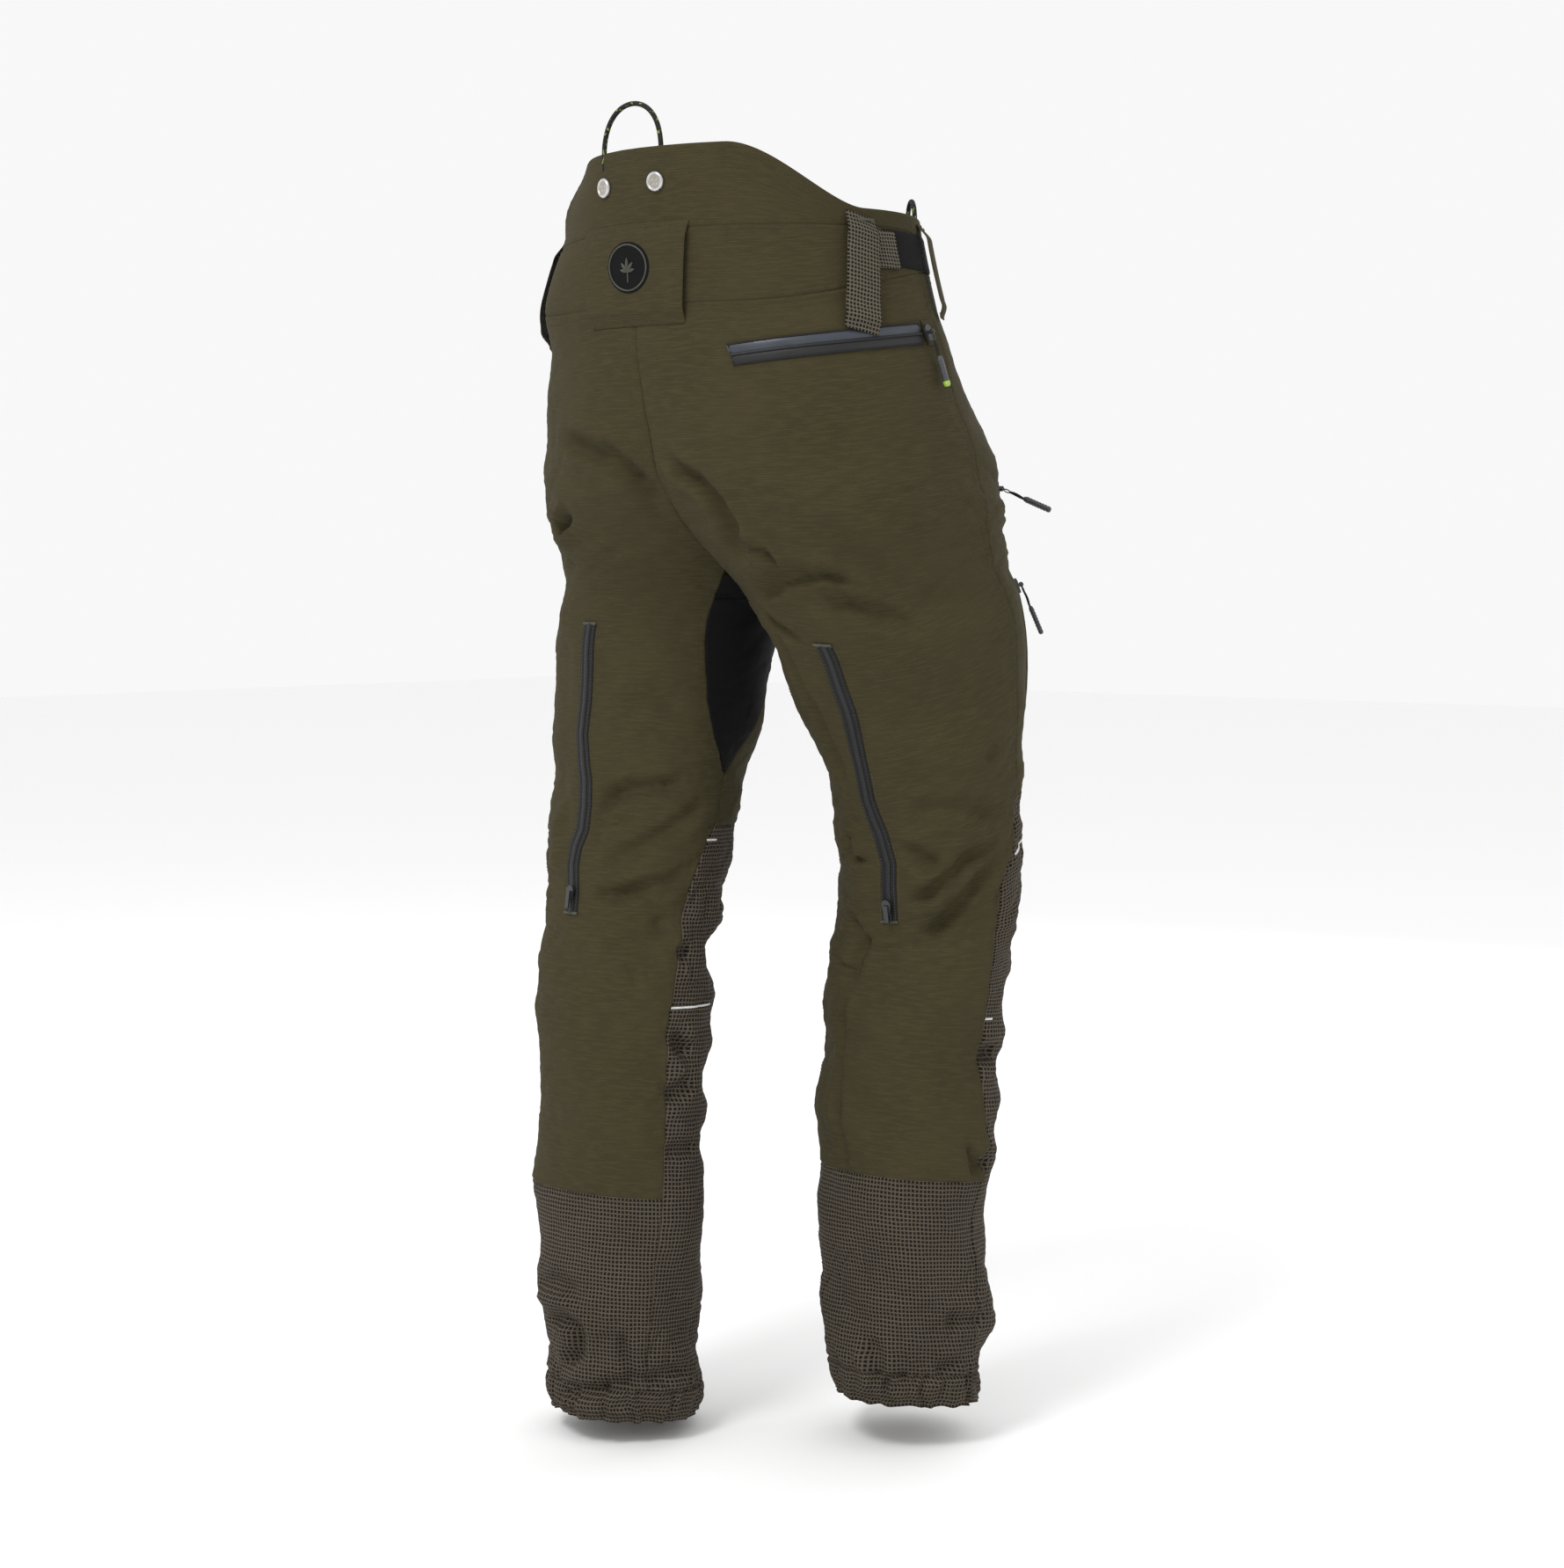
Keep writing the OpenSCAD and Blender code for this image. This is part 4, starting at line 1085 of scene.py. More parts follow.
def panels():
    """The garment's cloth, panel by panel."""
    knee_line, ankle_line, cuff_line = flat_line(KNEE_TOP), flat_line(ANKLE), flat_line(CUFF)
    gusset_line, rise_line = flat_line(GUSSET_TOP), flat_line(RISE_TOP)
    for side, label in SIDES.items():
        panel("back_" + label, side, (side_seam, inseam, knee_line, band_bottom, KNEE_TOP, -30), OLIVE,
              over_hip, "olive_fabric", ("back_thigh_panel_" + label, "hip_fold_" + label, "seat_panels"),
              seams="LRT")
        panel("front_" + label, side, (front_seam, side_seam, knee_line, band_bottom, KNEE_TOP, -30), OLIVE,
              over_hip, "olive_fabric", ("front_thigh_panel_" + label, "hip_front_panels"))
        stretch = (STRETCH, over_hip, "black_stretch_fabric", ("gusset_" + label,), "stretched")
        panel("inner_gusset_" + label, side,
              (gusset_back, gusset_front, flat_line(-440), gusset_line, -300, -300), *stretch)
        rises = {
            "back": (gusset_back, rise_edge),
            "front": (lambda z: -rise_edge(z), lambda z: -gusset_back(z)),
        }
        for where, edges in rises.items():
            panel("gusset_" + where + "_rise_" + label, side,
                  (*edges, gusset_line, rise_line, GUSSET_TOP, GUSSET_TOP), *stretch, pitch=2.0, seams="")
        panel("back_knee_" + label, side, (side_seam, inseam, ankle_line, knee_line, ANKLE, KNEE_TOP), OLIVE,
              over_knee, "olive_fabric", ("calf_panel_" + label, "knee_fold_" + label), seams="LRB")
        panel("shin_" + label, side,
              (lambda z: inseam(z) - 360, side_seam, cuff_line, knee_line, CUFF, KNEE_TOP), CHECKED,
              over_knee, "checked_fabric", ("shin_panel_" + label, "knee_cap_panel_" + label))
        panel("ankle_" + label, side, (side_seam, inseam, cuff_line, ankle_line, CUFF, ANKLE), CHECKED,
              on_shin, "checked_fabric", ("ankle_panel_" + label,))
        panel("waistband_front_" + label, side, (lambda z: -limit(z), side_seam, band_bottom, top_edge, 0, 0),
              OLIVE, on_upper, "olive_fabric", ("waistband_front",), "stretched")
        cuff(side, label)
        pads_and_bags(side, label)
    band_line = flat_line(BAND_TOP)
    for name, node, bottom, top in (("waistband_back_cloth", "waistband_back", band_bottom, band_line),
                                    ("high_back_cloth", "high_back_panel", band_line, top_edge)):
        obj = cloth_shell(name, back_place(WAIST_SEAM, bottom, top), graded(650, 3.2), graded(60, 3.0), OLIVE)
        on_body(obj, "upper", (node,))
        SHEETS.append((obj, "stretched"))


def cuff(side, label):
    """The gathered elastic hem, a closed ring."""
    count, rows = 300, 15
    angle, t = np.meshgrid(np.linspace(0, 360, count, endpoint=False), np.linspace(0, 1, rows))
    scallop = 0.9 * np.sin(np.radians(angle * 17) + 1.4 * np.sin(np.radians(angle * 5 + 40 * side)))
    z = HEM + (CUFF - HEM) * t + scallop * (1 - t)
    pinched = -2.2 * np.exp(-(((t - 0.1) / 0.12) ** 2)) - 2.0 * np.exp(-(((t - 0.98) / 0.07) ** 2))
    band = pinched + 1.2 * np.sin(t * math.pi)
    top = surface(side, angle, z, band)
    low = surface(side, angle, z, band - 1.4)
    run = lengths_along(top, 1)
    uv = np.stack([run, np.repeat((z[:, :1] - HEM), count, 1)], -1).reshape(-1, 2)
    points = np.concatenate([top.reshape(-1, 3), low.reshape(-1, 3)])
    parts = points, shell_faces(rows, count, side < 0, closed=True), np.concatenate([uv, uv])
    obj = add("hem_cuff_" + label, parts, CHECKED, label + "_shin", ("cuff_" + label,))
    SHEETS.append((obj, "gathered"))


def wedge(angle, axis, front, back):
    """Height of a plane through an axis (y, z) that rises by front and back degrees to either side."""
    y = column(axis[1], 1) + column(axis[1], 3) * np.sin(np.radians(angle))
    ahead = (axis[0] - y) * math.tan(math.radians(front))
    behind = (y - axis[0]) * math.tan(math.radians(back))
    return axis[1] + np.where(y < axis[0], ahead, behind)


PAD = dict(pitch=7.0, thick=5.0, outer=-7.6, pucker=0.5)
BAG = dict(pitch=6.0, thick=0.8, outer=-4.4, pucker=0.4)
# Half of the gap between the thigh and shin parts of a pad
PAD_GAP = 8
PAD_AXIS = (15, -600)


def pads_and_bags(side, label):
    """Cut-protection pads inside the front of the leg, and the pockets' inner bags."""
    pads = [
        ("thigh_pad_", lambda a: wedge(a, PAD_AXIS, 12, 15) + PAD_GAP, flat_line(-300), -500, -300,
         over_hip, "thigh_guard_pad_"),
        ("shin_pad_", flat_line(CUFF + 20), lambda a: wedge(a, PAD_AXIS, -12, -53) - PAD_GAP, CUFF, -600,
         on_shin, "shin_guard_pad_"),
    ]
    for name, bottom, top, low, high, move, node in pads:
        obj = leg_panel(name + label, side, fixed(-150), fixed(0), bottom, top, low, high, FELT, **PAD)
        move(obj, side, "guard_felt", (node + label,))
    # Name, two angles, two heights, what it moves with and the CAD node it stands for
    bags = [
        ("hand_bag_" + label, -72, -20, -188, -58, on_upper, "pocket_bags"),
        ("thigh_bag_" + label, -70, -22, -470, -306, over_hip, "thigh_zip_tape_" + label),
    ]
    if side < 0:
        bags.append(("rear_bag", 4, 60, -200, -62, on_upper, "pocket_bags"))
    for name, start, end, low, high, move, node in bags:
        shape = (fixed(start), fixed(end), flat_line(low), flat_line(high), low, high)
        panel(name, side, shape, LINING, move, "lining_fabric", (node,), **BAG)


panels()

# ---- Stitching ----

STITCH_PITCH = 3.1
OCTAHEDRON = [(0, 2, 4), (2, 1, 4), (1, 3, 4), (3, 0, 4), (2, 0, 5), (1, 2, 5), (3, 1, 5), (0, 3, 5)]
# The stitching line of the fly: height and degrees from the middle plane
FLY_LINE = [(22, 15), (-40, 16), (-90, 15), (-125, 12), (-148, 6), (-156, 1)]
seams = {}


def stitch_run(group, side, path, shift=0.0, out=0.25):
    """Adds a row of stitches along a path of (angle, height), shift millimetres to its side."""
    path, flat, run = unroll(path)
    at = np.arange(STITCH_PITCH / 2, run[-1], STITCH_PITCH)
    a, z, slope = follow(path, flat, run, at)
    a = a - slope[:, 1] * shift / per_degree(z)
    z = z + slope[:, 0] * shift
    here = surface(side, a, z, out)
    ahead = surface(side, a + slope[:, 0] / per_degree(z), z + slope[:, 1], out) - here
    outward = surface(side, a, z, out + 3) - here
    seams.setdefault(group, []).append((here, ahead, outward))


def seam_path(angle_of, low, high, step=6.0):
    z = np.arange(low, high + step, step).clip(None, high)
    return np.stack([angle_of(z), z], -1)


def edge_path(height_of, low, high, step=2.0):
    a = np.arange(low, high + step, step).clip(None, high)
    return np.stack([a, height_of(a)], -1)


def stitch_mesh(name, runs, long, wide, high, cloth, square=True):
    """The stitches of some rows, each a slim octahedron. square turns their height square to the row."""
    here, ahead, outward = (np.concatenate([run[k] for run in runs]) for k in range(3))
    ahead /= np.linalg.norm(ahead, axis=1)[:, None]
    outward /= np.linalg.norm(outward, axis=1)[:, None]
    across = np.cross(ahead, outward)
    if square:
        across /= np.linalg.norm(across, axis=1)[:, None]
        outward = np.cross(across, ahead)
    corners = [long * ahead, -long * ahead, wide * across, -wide * across, high * outward, -high * outward]
    points = np.stack([here + corner for corner in corners], 1).reshape(-1, 3)
    faces = [tuple(i + 6 * k for i in face) for k in range(len(here)) for face in OCTAHEDRON]
    return make_mesh(name, points, faces, cloth, smooth_angle=80)


def make_stitches():
    """Every row of stitches, gathered in one piece for each part that moves."""
    for side, label in SIDES.items():
        hip, knee, top, shin = "hip_" + label, "knee_" + label, "upper_" + label, "shin_" + label
        if side > 0:
            for shift in (3.2, 9.5):
                stitch_run(hip, side, seam_path(limit, RISE_TOP + 4, -38), shift)
            stitch_run(hip, side, seam_path(lambda z: -limit(z), CROTCH + 8, -38), -3.2)
            fly_path = [(-float(limit(z)) + offset, z) for z, offset in FLY_LINE]
            for shift in (0.0, 2.5):
                stitch_run(top, side, fly_path, shift)
        for shift in (3.0, 8.5):
            stitch_run(hip, side, seam_path(side_seam, KNEE_TOP + 4, -12), -shift)
        stitch_run(knee, side, seam_path(side_seam, ANKLE + 2, KNEE_TOP - 2), -3.0)
        for shift in (3.0, 8.0):
            stitch_run(knee, side, seam_path(inseam, ANKLE + 2, KNEE_TOP - 2), shift)
            stitch_run(hip, side, seam_path(inseam, KNEE_TOP + 4, RISE_TOP - 4), shift)
            stitch_run(hip, side, edge_path(flat_line(KNEE_TOP), -178, -13), shift)
            stitch_run(hip, side, edge_path(band_bottom, -84, 90), -shift)
        for shift in (-3.0, 3.0):
            stitch_run(shin, side, edge_path(flat_line(ANKLE), -6, 158), shift)
        stitch_run(shin, side, edge_path(flat_line(CUFF), -180, 178), 3.5)
        stitch_run(shin, side, edge_path(flat_line(HEM), -180, 178), 7.0)
        stitch_run(shin, side, seam_path(side_seam, CUFF + 3, ANKLE - 3), -3.0)
        stitch_run(shin, side, seam_path(inseam, CUFF + 3, ANKLE - 3), 3.0)
        stitch_run(top, side, edge_path(top_edge, -84, 90), -7.5)
        stitch_run(top, side, edge_path(flat_line(BAND_TOP), -10, 90), 3.0)
        stitch_run(top, side, edge_path(flat_line(BAND_TOP), -10, 90), -3.0)
        stitch_run(top, side, edge_path(band_bottom, -84, 90), 3.0)
        for group, path in ((top, HAND_ZIP), (hip, THIGH_ZIP)):
            for shift in (-12, 12):
                stitch_run(group, side, path, shift)
    for shift in (-11.5, 11.5):
        stitch_run("upper_right", -1, rear_zip_path(range(-4, 69, 4)), shift)
    for group, runs in seams.items():
        kind, label = group.split("_")
        side = 1 if label == "left" else -1
        obj = stitch_mesh("stitches_" + group, runs, 1.15, 0.27, 0.22, THREAD)
        MOVES[kind](obj, side, "olive_fabric")


make_stitches()

# ---- Waist hardware ----

TUNNEL_HALF, TUNNEL_NARROW, TUNNEL_BOTTOM, TUNNEL_TOP = 19.5, 13.5, -52.0, 33.0
BADGE_RISE, BADGE_RADIUS, RING_RADIUS, LEAF_DROP = 6.0, 21.5, 19.0, 3.5
BELT_GAP = 5.5


def tunnel():
    """The square rear patch that the belt runs behind, and its embroidered badge."""
    def lift(t):
        return (BELT_GAP - 1) * ease(6 * np.minimum(t, 1 - t))

    def patch(s, t, out, bare):
        q = 1 - 2 * s
        z = TUNNEL_BOTTOM * (1 - t) + TUNNEL_TOP * t
        reach = TUNNEL_NARROW + (TUNNEL_HALF - TUNNEL_NARROW) * t
        angle = limit(z) - (reach + limit(z) - 90) * np.abs(q)
        left, right = (surface(side, angle, z, out + lift(t), bare) for side in (1, -1))
        return np.where((q >= 0)[..., None], left, right)

    obj = cloth_shell("rear_tunnel", patch, graded(118, 2.4), graded(84, 2.4), OLIVE, outer=1.7, thick=1.0)
    on_body(obj, "upper", ("rear_belt_tunnel",))
    SHEETS.append((obj, "stretched"))
    tall = TUNNEL_TOP - TUNNEL_BOTTOM
    wide = (TUNNEL_HALF + TUNNEL_NARROW) * math.radians(float(column(0, 2)))

    def at(x, y, out):
        s, t = 0.5 - np.asarray(x) / wide, 0.5 + np.asarray(y) / tall
        return patch(s, t, np.asarray(out, float) + 0 * s, False)

    def blob(radius_of, rings, sides, rise, base):
        """A raised shape whose outline is a radius for each direction."""
        turn = np.linspace(0, 2 * math.pi, sides, endpoint=False)
        points, uv = [], []
        for layer in (1, 0):
            for f in np.linspace(0.02, 1, rings):
                r = f * radius_of(turn)
                height = base + (rise * min(1.0, (1 - f) * 9 + 0.35) if layer else 0.0)
                x, y = r * np.cos(turn), BADGE_RISE + r * np.sin(turn)
                points.append(at(x, y, height + 0 * x))
                uv.append(np.stack([x, y], -1))
        faces = shell_faces(rings, sides, True, closed=True)
        size = rings * sides
        faces.append(tuple(range(sides)))
        faces.append(tuple(reversed(range(size, size + sides))))
        return np.concatenate(points), faces, np.concatenate(uv)

    disc = blob(lambda turn: BADGE_RADIUS + 0 * turn, 14, 96, 1.0, 1.6)
    add("badge_disc", disc, STRETCH, "upper")
    ring_turn = np.linspace(0, 2 * math.pi, 145)[:-1]
    x, y = RING_RADIUS * np.cos(ring_turn), BADGE_RISE + RING_RADIUS * np.sin(ring_turn)
    ring = at(x, y, 2.7 + 0 * ring_turn)
    leaf = []
    line = np.linspace(0, 1, 12)
    swell = 0.25 + 1.35 * np.sin(np.pi * np.clip(line * 0.92 + 0.05, 0, 1))
    for k in range(5):
        tilt = math.radians(90 + (k - 2) * 38)
        size = (11.5, 9.5, 7.5)[abs(k - 2)]
        x, y = size * line * math.cos(tilt), BADGE_RISE - LEAF_DROP + size * line * math.sin(tilt)
        leaf.append(tube_parts(at(x, y, 2.75 + 0 * line), swell, 8))
    stem = np.linspace(0, 1, 8)
    leaf.append(tube_parts(at(0.3 * stem, BADGE_RISE - LEAF_DROP - 9 * stem, 2.7 + 0 * stem), 0.6, 8))
    leaf.append(tube_parts(np.concatenate([ring, ring[:1]]), 0.7, 8))
    add("badge_leaf", join_parts(leaf), GREY_THREAD, "upper")
    stitches = []
    for y in (-tall / 2 + 4, -tall / 2 + 10, tall / 2 - 4, tall / 2 - 10):
        for start in np.arange(-wide / 2 + 4, wide / 2 - 4, 3.0):
            x = np.array([start, start + 1.1, start + 2.2])
            stitches.append(tube_parts(at(x, y + 0 * x, 1.85 + 0 * x), [0.12, 0.28, 0.12], 5))
    add("tunnel_stitches", join_parts(stitches), THREAD, "upper")


def strap_lift(t):
    return (BELT_GAP + 2) * ease(6 * np.minimum(t, 1 - t)) + 2.2 * ease(8 * (0.2 - t))


WIDE_LOOP = [(25, -61), (16.5, 36)]
SLIM_LOOP = [(-20, -44), (-20, 36)]


# Angle, height and width of the bartacks at the ends of the two loops
BARTACKS = [(24.6, -57, 26), (16.9, 32, 26), (-20, -40, 16), (-20, 32, 16)]
STRAP_WIDTH = 31


def straps():
    """Belt loops, hook pads, adjuster tabs and their bartacks."""
    for side, label in SIDES.items():
        loop = dict(pitch=2.2, lift=strap_lift)
        # Name, ribbon, its options, cloth, body, slot and CAD node
        strips = [
            ("wide_loop_", (WIDE_LOOP, 0, STRAP_WIDTH, 0.7, 1.9), loop, WEBBING,
             "upper", "belt_loop_fabric", "belt_loops"),
            ("slim_loop_", (SLIM_LOOP, 0, 20, 0.7, 1.9), loop, OLIVE,
             "upper", "belt_loop_fabric", "belt_loops"),
            ("hook_pad_", ([(-25, 10.5), (8, 10.5)], 0, STRAP_WIDTH, 0.3, 1.6), dict(pitch=2.5), HOOKS,
             "upper", "hook_fabric", "hook_pads"),
            ("adjuster_", ([(3, 8.5), (20, 8.5)], 0, STRAP_WIDTH, 2.2, 3.3), dict(pitch=2.2), WEBBING,
             label + "_adjuster", "checked_fabric", "adjuster_tab_" + label),
        ]
        for name, strip, options, cloth, body, slot, node in strips:
            obj = add(name + label, ribbon_parts(side, *strip, **options), cloth, body, (node,))
            SHEETS.append((obj, "stretched"))
        bars = []
        for angle, z, width in BARTACKS:
            half = width / 2 / float(per_degree(z))
            ends = [(angle - half, z), (angle + half, z)]
            bars.append(ribbon_parts(side, ends, 0, 2.2, 1.9, 2.7, pitch=1.2,
                                     lift=lambda t: 1.6 + 0.35 * np.sin(t * 90)))
        add("bartacks_" + label, join_parts(bars), GREY_THREAD, "upper")


BUTTON_SPOTS = [(80, 66), (-50, 29), (-68, 29)]
BUTTON_HOLES = [(2, 2), (2, -2), (-2, 2), (-2, -2)]
# Profiles of (radius, height)
BUTTON_RIM = [(0.4, 0.0), (7.9, 0.0), (8.5, 0.35), (8.5, 1.0), (8.3, 1.9), (7.7, 2.7), (6.9, 3.15),
              (6.1, 3.0), (5.6, 2.45), (5.5, 1.9), (0.4, 1.9)]
# The dark plug in each dimple is painted shade, standing in for the depth of the button's hole.
HOLE_SHADE_PLUG = [(0.2, 1.5), (0.62, 1.5), (0.62, 1.85), (0.2, 1.85)]
SNAP_CAP = [(0.4, 0), (7.3, 0), (7.5, 0.4), (7.3, 0.9), (6.4, 1.2), (5.6, 2.2), (4.6, 2.8), (3.0, 3.05),
            (1.2, 3.1), (0.3, 3.1)]
FACE_RADIUS, FACE_RINGS, FACE_SIDES = 5.6, 16, 48


def button_face():
    """The dished middle of a button, with four dimples."""
    turn = np.linspace(0, 2 * math.pi, FACE_SIDES, endpoint=False)
    points = []
    for upper_layer in (True, False):
        for r in np.linspace(0.05, FACE_RADIUS, FACE_RINGS):
            x, y = r * np.cos(turn), r * np.sin(turn)
            dish = 2.6 - 0.35 * (1 - (r / FACE_RADIUS) ** 2)
            for hole_x, hole_y in BUTTON_HOLES:
                dish = dish - 0.9 * np.exp(-((np.hypot(x - hole_x, y - hole_y) / 0.85) ** 4))
            points.append(np.stack([x, y, dish if upper_layer else 1.0 + 0 * x], -1))
    faces = shell_faces(FACE_RINGS, FACE_SIDES, False, closed=True)
    faces.append(tuple(reversed(range(FACE_SIDES))))
    faces.append(tuple(range(FACE_RINGS * FACE_SIDES, (FACE_RINGS + 1) * FACE_SIDES)))
    points = np.concatenate(points)
    return points, [tuple(reversed(face)) for face in faces], points[:, :2]


def brace_buttons():
    for side, label in SIDES.items():
        rims, discs, hole_shade_plugs = [], [], []
        for angle, z in BUTTON_SPOTS:
            here = spot_frame(side, angle, z, 0.2)
            rims.append(moved(lathe_parts(BUTTON_RIM, 48), *here))
            discs.append(moved(button_face(), *here))
            # Dark plugs in the dimples: painted shade where the holes are.
            hole_shade_plugs += [moved(lathe_parts(HOLE_SHADE_PLUG, 16, hole), *here) for hole in BUTTON_HOLES]
        finishes = [("rims", rims, STEEL), ("faces", discs, BUTTON_FACE), ("hole_shade_plugs", hole_shade_plugs, DARK_LIP)]
        for name, parts, finish in finishes:
            add("brace_button_" + name + "_" + label, join_parts(parts), finish, "upper",
                ("brace_buttons",))


def waist_snap():
    parts = moved(lathe_parts(SNAP_CAP, 48), *spot_frame(1, -82, 8, 0.2))
    add("waist_snap_cap", parts, STEEL, "upper", ("waist_snap",))


# ---- Cords ----

CORD_DIAMETER = 4.3
# The CAD model's cloth and the gap between it and a cord behind it
CAD_CLOTH, CORD_GAP = 1.5, 2


def loop_route(side_a, angle_a, side_b, angle_b, height, sink):
    """The centre line of a loop between two spots behind the top edge."""
    out = -CAD_CLOTH - CORD_GAP - CORD_DIAMETER / 2
    a, b = (cad_point(side, angle, float(top_edge(angle)) - sink, out)
            for side, angle in ((side_a, angle_a), (side_b, angle_b)))
    middle, reach = (a + b) / 2, (b - a) / 2
    turn = np.radians(np.arange(0, 180.1, 3.75))
    rise = (height + sink) * np.clip(np.sin(turn), 0, 1) ** 0.8
    level = np.cos(turn) * (1 + 0.12 * np.sin(turn))
    return middle - reach * level[:, None] + rise[:, None] * np.array([0, 0, 1])


def cords():
    loops = [("rear_loop", (-1, 79, 1, 79, 39, 14), "rear_cord_loop"),
             ("front_loop_left", (1, -32, 1, -46, 20, 12), "front_cord_loop_left"),
             ("front_loop_right", (-1, -46, -1, -32, 20, 12), "front_cord_loop_right")]
    for name, shape, node in loops:
        route = loop_route(*shape)
        cord = tube_parts(route, CORD_DIAMETER / 2, 20)
        obj = add(name, cord, CORD_BRAID, "upper", (node,))


# ---- Zips ----


COIL_COLUMNS = 7
TAPE_WIDTH, VENT_TAPE_WIDTH = 13, 14


def coil_parts(side, path, shift, out, pitch=1.25, width=4.4):
    """The moulded coil: a bead of close ridges down the middle of a tape."""
    points, faces, uv = ribbon_parts(side, path, shift, width, out, out + 1.2, pitch=pitch / 2,
                                     columns=COIL_COLUMNS, bow=0.35)
    size = len(points) // 2
    rows = size // COIL_COLUMNS
    ridge = np.repeat(np.where(np.arange(rows) % 2 == 0, 0.16, -0.16), COIL_COLUMNS)[:, None]
    top, low = points[:size], points[size:]
    direction = top - low
    direction /= np.linalg.norm(direction, axis=1)[:, None]
    return np.concatenate([top + direction * ridge, low]), faces, uv


def place(name, parts, material, move, side, slot, nodes=()):
    points, faces, uv = parts
    move(make_mesh(name, points, faces, material, uv), side, slot, nodes)


def zip_tape(name, side, path, width, move, slot, node, out=0.6):
    """Both halves of a tape, the coil between them and a bartack at each end."""
    halves = [ribbon_parts(side, path, shift, width / 2 - 0.6, out, out + 0.9, pitch=2.4)
              for shift in (-width / 4 - 0.3, width / 4 + 0.3)]
    place(name + "_tape", join_parts(halves), TAPE, move, side, slot, (node,))
    place(name + "_coil", coil_parts(side, path, 0, out + 0.5), DARK_LIP, move, side, slot, (node,))
    ends = []
    for angle, z in (path[0], path[-1]):
        half = (width / 2 + 1) / float(per_degree(z))
        ends.append(ribbon_parts(side, [(angle - half, z), (angle + half, z)], 0, 2.4, out + 0.6, out + 1.9,
                                 pitch=1.2, lift=lambda t: 0.3 * np.sin(t * 70)))
    place(name + "_bartacks", join_parts(ends), GREY_THREAD, move, side, slot)


def welts(name, side, path, move):
    """Folded cloth lips along both sides of a zip."""
    lips = [ribbon_parts(side, path, shift, 5.0, 0.2, 1.9, pitch=2.6, bow=0.8)
            for shift in (-TAPE_WIDTH / 2 - 1.5, TAPE_WIDTH / 2 + 1.5)]
    place(name, join_parts(lips), OLIVE, move, side, "olive_fabric")


# Courses of the two vent zips, by angle and height
VENT_LINES = {
    1: [(84, -572), (84, -562), (84, -554), (81.5, -528), (83, -512), (87.5, -496), (88.5, -474), (88, -452),
        (86, -436), (84, -410), (86, -380), (86.5, -344), (87, -312), (87, -308)],
    -1: [(84, -572), (84, -562), (84, -554), (84, -534), (83, -514), (86, -486), (89, -470), (91, -454),
         (91, -428), (91, -412), (90, -392), (89, -372), (89, -350), (88, -330), (87, -316), (87, -313)],
}


def zips():
    for side, label in SIDES.items():
        zip_tape("hand_zip_" + label, side, HAND_ZIP, TAPE_WIDTH, on_upper,
                 "pocket_zip_tape", "pocket_zip_tapes")
        welts("hand_welt_" + label, side, HAND_ZIP, on_upper)
        zip_tape("thigh_zip_" + label, side, THIGH_ZIP, TAPE_WIDTH, over_hip,
                 "zip_tape", "thigh_zip_tape_" + label)
        welts("thigh_welt_" + label, side, THIGH_ZIP, over_hip)
        line, group = VENT_LINES[side], "vent_" + label
        zip_tape(group, side, line, VENT_TAPE_WIDTH, over_hip, "zip_tape", "vent_tape_" + label)
        for shift, out in ((-5.6, 1.65), (5.6, 1.65), (-9.2, 0.3), (9.2, 0.3)):
            stitch_run(group, side, line, shift, out)
        obj = stitch_mesh("vent_stitches_" + label, seams[group], 1.1, 0.35, 0.28, GREY_THREAD, square=False)
        over_hip(obj, side, "zip_tape")
    rear_pocket()


def rear_pocket():
    """The rear pocket's coated lips, its coil, its piping and the cloth over its upper end."""
    path = rear_zip_path(np.linspace(0, 66, 18))
    # Name, shift from the zip, width, inner and outer face, finish
    lips = [("upper_lip", 4.2, 7.0, 0.4, 1.7, COATED), ("lower_lip", -4.3, 6.6, 0.4, 1.5, DARK_LIP)]
    for name, shift, width, low, high, finish in lips:
        parts = ribbon_parts(-1, path, shift, width, low, high, pitch=2.4, bow=0.35)
        add("rear_pocket_" + name, parts, finish, "upper", ("pocket_zip_tapes",))
    coil = coil_parts(-1, path, -0.1, 0.8, width=2.6)
    add("rear_pocket_coil", coil, DARK_LIP, "upper")
    angles, heights = np.array(path).T
    low, high = -8.4, 8.6
    piping = [tube_parts(surface(-1, angles, heights + shift, 1.0), 0.8, 8) for shift in (high, low)]
    for angle in (0.4, 65.6):
        z = rear_zip_z(angle) + np.linspace(low, high, 12)
        piping.append(tube_parts(surface(-1, np.full(12, angle), z, 1.0), 0.8, 8))
    add("rear_pocket_piping", join_parts(piping), TAPE, "upper")
    garage = ribbon_parts(-1, [(-7.5, -57.5), (-2.2, -59)], 0, 21, 0.3, 1.8, pitch=1.6, bow=0.5)
    add("rear_pocket_garage", garage, OLIVE, "upper")


def crotch_patch():
    """A small lozenge of stretch cloth where the four inner seams meet."""
    line = np.linspace(-1, 1, 17)
    full = np.sqrt(np.clip(1 - line**2, 0.004, 1))
    spot = posed(1, np.array([0.0, float(column(CROTCH, 1)), CROTCH - 1.0]))
    points, faces, uv = loft_parts([(20 * y, 9 * f, 1.6 * f, 0.0) for y, f in zip(line, full)], 2.4, 28)
    add("crotch_patch", (points + spot, faces, uv), STRETCH, "upper")


def fly():
    for side, label in SIDES.items():
        obj = leg_panel("fly_tape_" + label, side, lambda z: -limit(z) + 0.2, lambda z: -limit(z) + 4.2,
                        flat_line(-150), flat_line(22), -60, -60, TAPE, pitch=2.4, outer=-4.2, pucker=0.0)
        on_body(obj, "upper", ("fly_zip_tape",))


# ---- Pullers and sliders ----


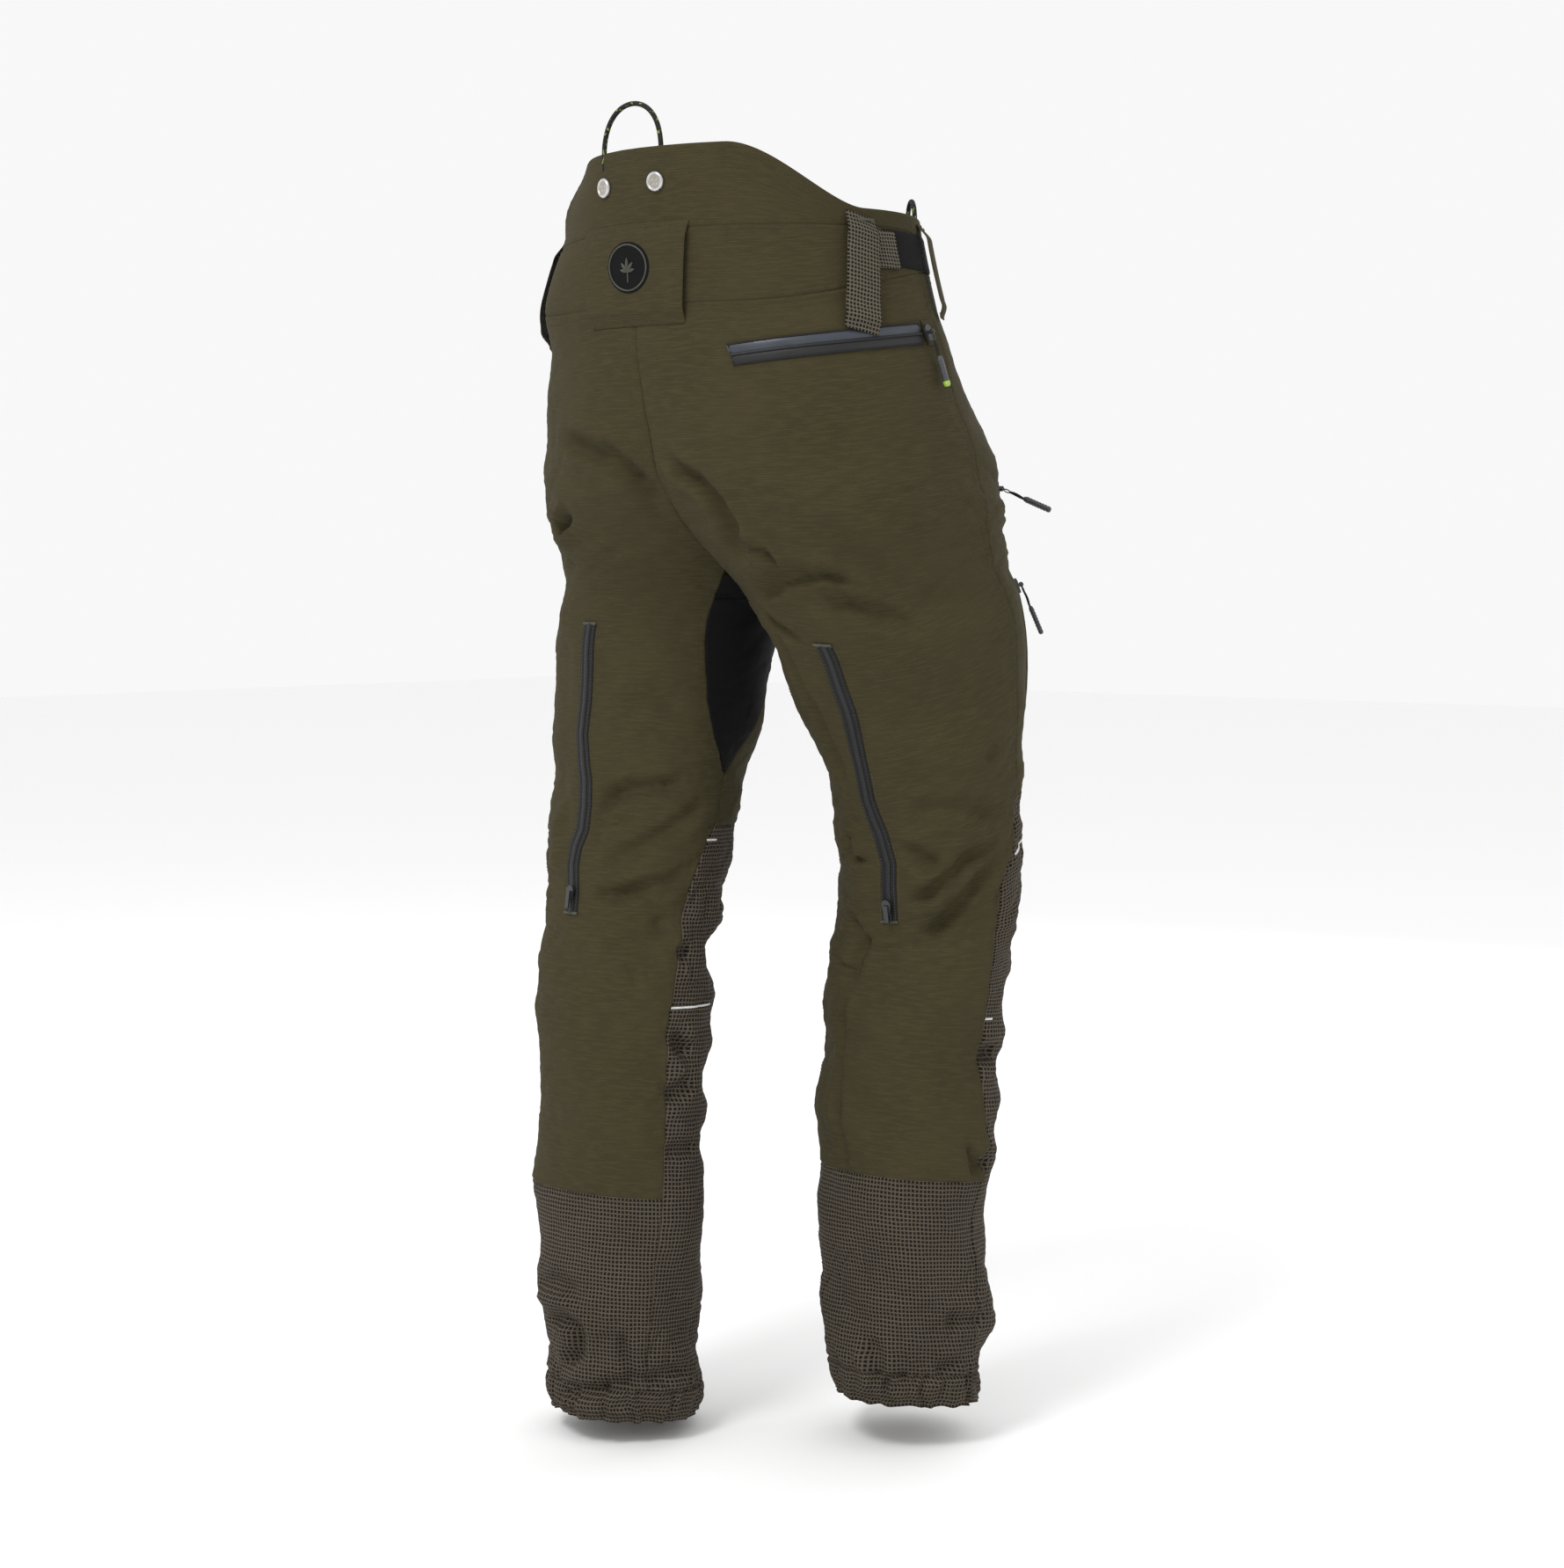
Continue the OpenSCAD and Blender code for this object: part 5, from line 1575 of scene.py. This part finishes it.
BAIL = np.array([[0, -1.5, 0], [1.5, -3, 0], [2.1, -5, 0], [1.6, -7, 0], [0, -8, 0], [-1.6, -7, 0],
                 [-2.1, -5, 0], [-1.5, -3, 0], [0, -1.5, 0]], float)
# Sections of the grip: distance along it, half width, half thickness
GRIP_NECK = [(-21.2, 0.5, 0.5), (-21.3, 1.5, 1.3), (-22.5, 2.2, 1.7), (-24.2, 3.0, 1.95)]
GRIP_END = [(-45.2, 3.3, 2.0), (-46.8, 2.9, 1.8), (-47.8, 1.9, 1.2), (-48.0, 0.5, 0.4)]
LIME_TIP = [(-43.2, 1.0, 0.8), (-43.3, 3.5, 2.15), (-46.2, 3.5, 2.15), (-47.3, 2.9, 1.8), (-48.0, 1.8, 1.2),
            (-48.1, 0.5, 0.4)]


def grip_parts(sections):
    return loft_parts([(y, width, height, 0) for y, width, height in sections], 3.2, 28)


def puller(name, joint_name, node, lime):
    """A bail, a thin cord and a moulded grip, in the pose of its CAD solid."""
    joint = JOINTS[joint_name]
    pin = np.array(joint["pos_m"]) * 1000
    right = -np.array(joint["axis"])
    low, high = (np.array(c) * 1000 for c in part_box(node))
    up = pin - (low + high) / 2
    up -= right * (up @ right)
    up /= np.linalg.norm(up)
    outward = np.cross(right, up)
    turn = np.linspace(0, 2 * math.pi, 33)
    eye = np.stack([0 * turn, 1.7 * np.sin(turn), 1.7 * np.cos(turn)], -1)
    line = np.linspace(0, 1, 33)
    knots = np.linspace(0, 1, len(BAIL))
    bail = np.stack([np.interp(line, knots, BAIL[:, k]) for k in range(3)], -1)
    t = np.linspace(0, 1, 24)
    strands = [np.stack([s * (0.95 * np.sin(np.pi * t) + 0.15), -7.2 - 15.5 * t, 0.35 * np.sin(t * 5)], -1)
               for s in (-1, 1)]
    grip = list(GRIP_NECK)
    for k in range(7):
        y = -25.0 - 2.8 * k
        grip += [(y, 3.35, 2.0), (y - 0.9, 3.35, 2.0), (y - 1.4, 3.1, 1.72), (y - 2.3, 3.1, 1.72)]
    grip += GRIP_END
    wire = join_parts([tube_parts(eye, 0.62, 10), tube_parts(bail, 0.55, 10)])
    cord = join_parts([tube_parts(strand, 0.85, 10) for strand in strands])
    parts = [
        ("_bail", wire, ENAMEL, (node,)),
        ("_puller_cord", cord, BLACK_THREAD, (node,)),
        ("_grip", grip_parts(grip), GRIP, (node,)),
    ]
    if lime:
        parts.append(("_grip_tip", grip_parts(LIME_TIP), LIME, ()))
    for ending, shape, finish, nodes in parts:
        shape = moved(shape, pin, right, up, outward)
        add(name + ending, shape, finish, name + "_puller", nodes)


def sliders():
    for name, node in frame["nodes"].items():
        if "slider" in name:
            node.data.materials.clear()
            node.data.materials.append(STEEL if name == "fly_zip_slider" else ENAMEL)


def reflective_marks():
    """Short pale lines at the knees."""
    for side, marks in ((1, [[(181, -502), (172, -502)], [(201, -650), (158, -652)]]),
                        (-1, [[(-30, -530), (-8, -536)], [(-2, -678), (6, -678)]])):
        parts = [ribbon_parts(side, path, 0, 1.8, 0.2, 0.75, pitch=1.8) for path in marks]
        place("reflective_marks_" + SIDES[side], join_parts(parts), WHITE, over_knee, side, "checked_fabric")


tunnel()
straps()
brace_buttons()
waist_snap()
cords()
zips()
crotch_patch()
fly()
for side, label in SIDES.items():
    puller(label + "_hand", label + "_hand_puller_swing", "hand_zip_puller_" + label, False)
    puller(label + "_thigh", label + "_thigh_puller_swing", "thigh_zip_puller_" + label, False)
puller("rear", "rear_puller_swing", "rear_zip_puller", True)
sliders()
reflective_marks()

# ---- Cloth sizes ----


def flat_size(obj):
    """Width and length of a panel laid flat, from its UVs, and its area, half of its two layers' faces."""
    mesh = obj.data
    uv = np.zeros(len(mesh.loops) * 2)
    mesh.uv_layers[0].data.foreach_get("uv", uv)
    uv = uv.reshape(-1, 2)
    size = uv.max(0) - uv.min(0)
    area = sum(face.area for face in mesh.polygons) / 2
    return float(size[0]), float(size[1]), float(area)


for obj, held in SHEETS:
    width, length, area = flat_size(obj)
    area = min(area, width * length)

# ---- Floor ----


FLOOR_GAP, FLOOR_HALF = 0.012, 14.0


def floor():
    low = cad_box[0][2] - FLOOR_GAP
    corners = [(x * FLOOR_HALF, y * FLOOR_HALF, low) for x, y in ((-1, -1), (1, -1), (1, 1), (-1, 1))]
    make_mesh("floor", np.array(corners) * 1000, [(0, 1, 2, 3)], FLOOR)


floor()
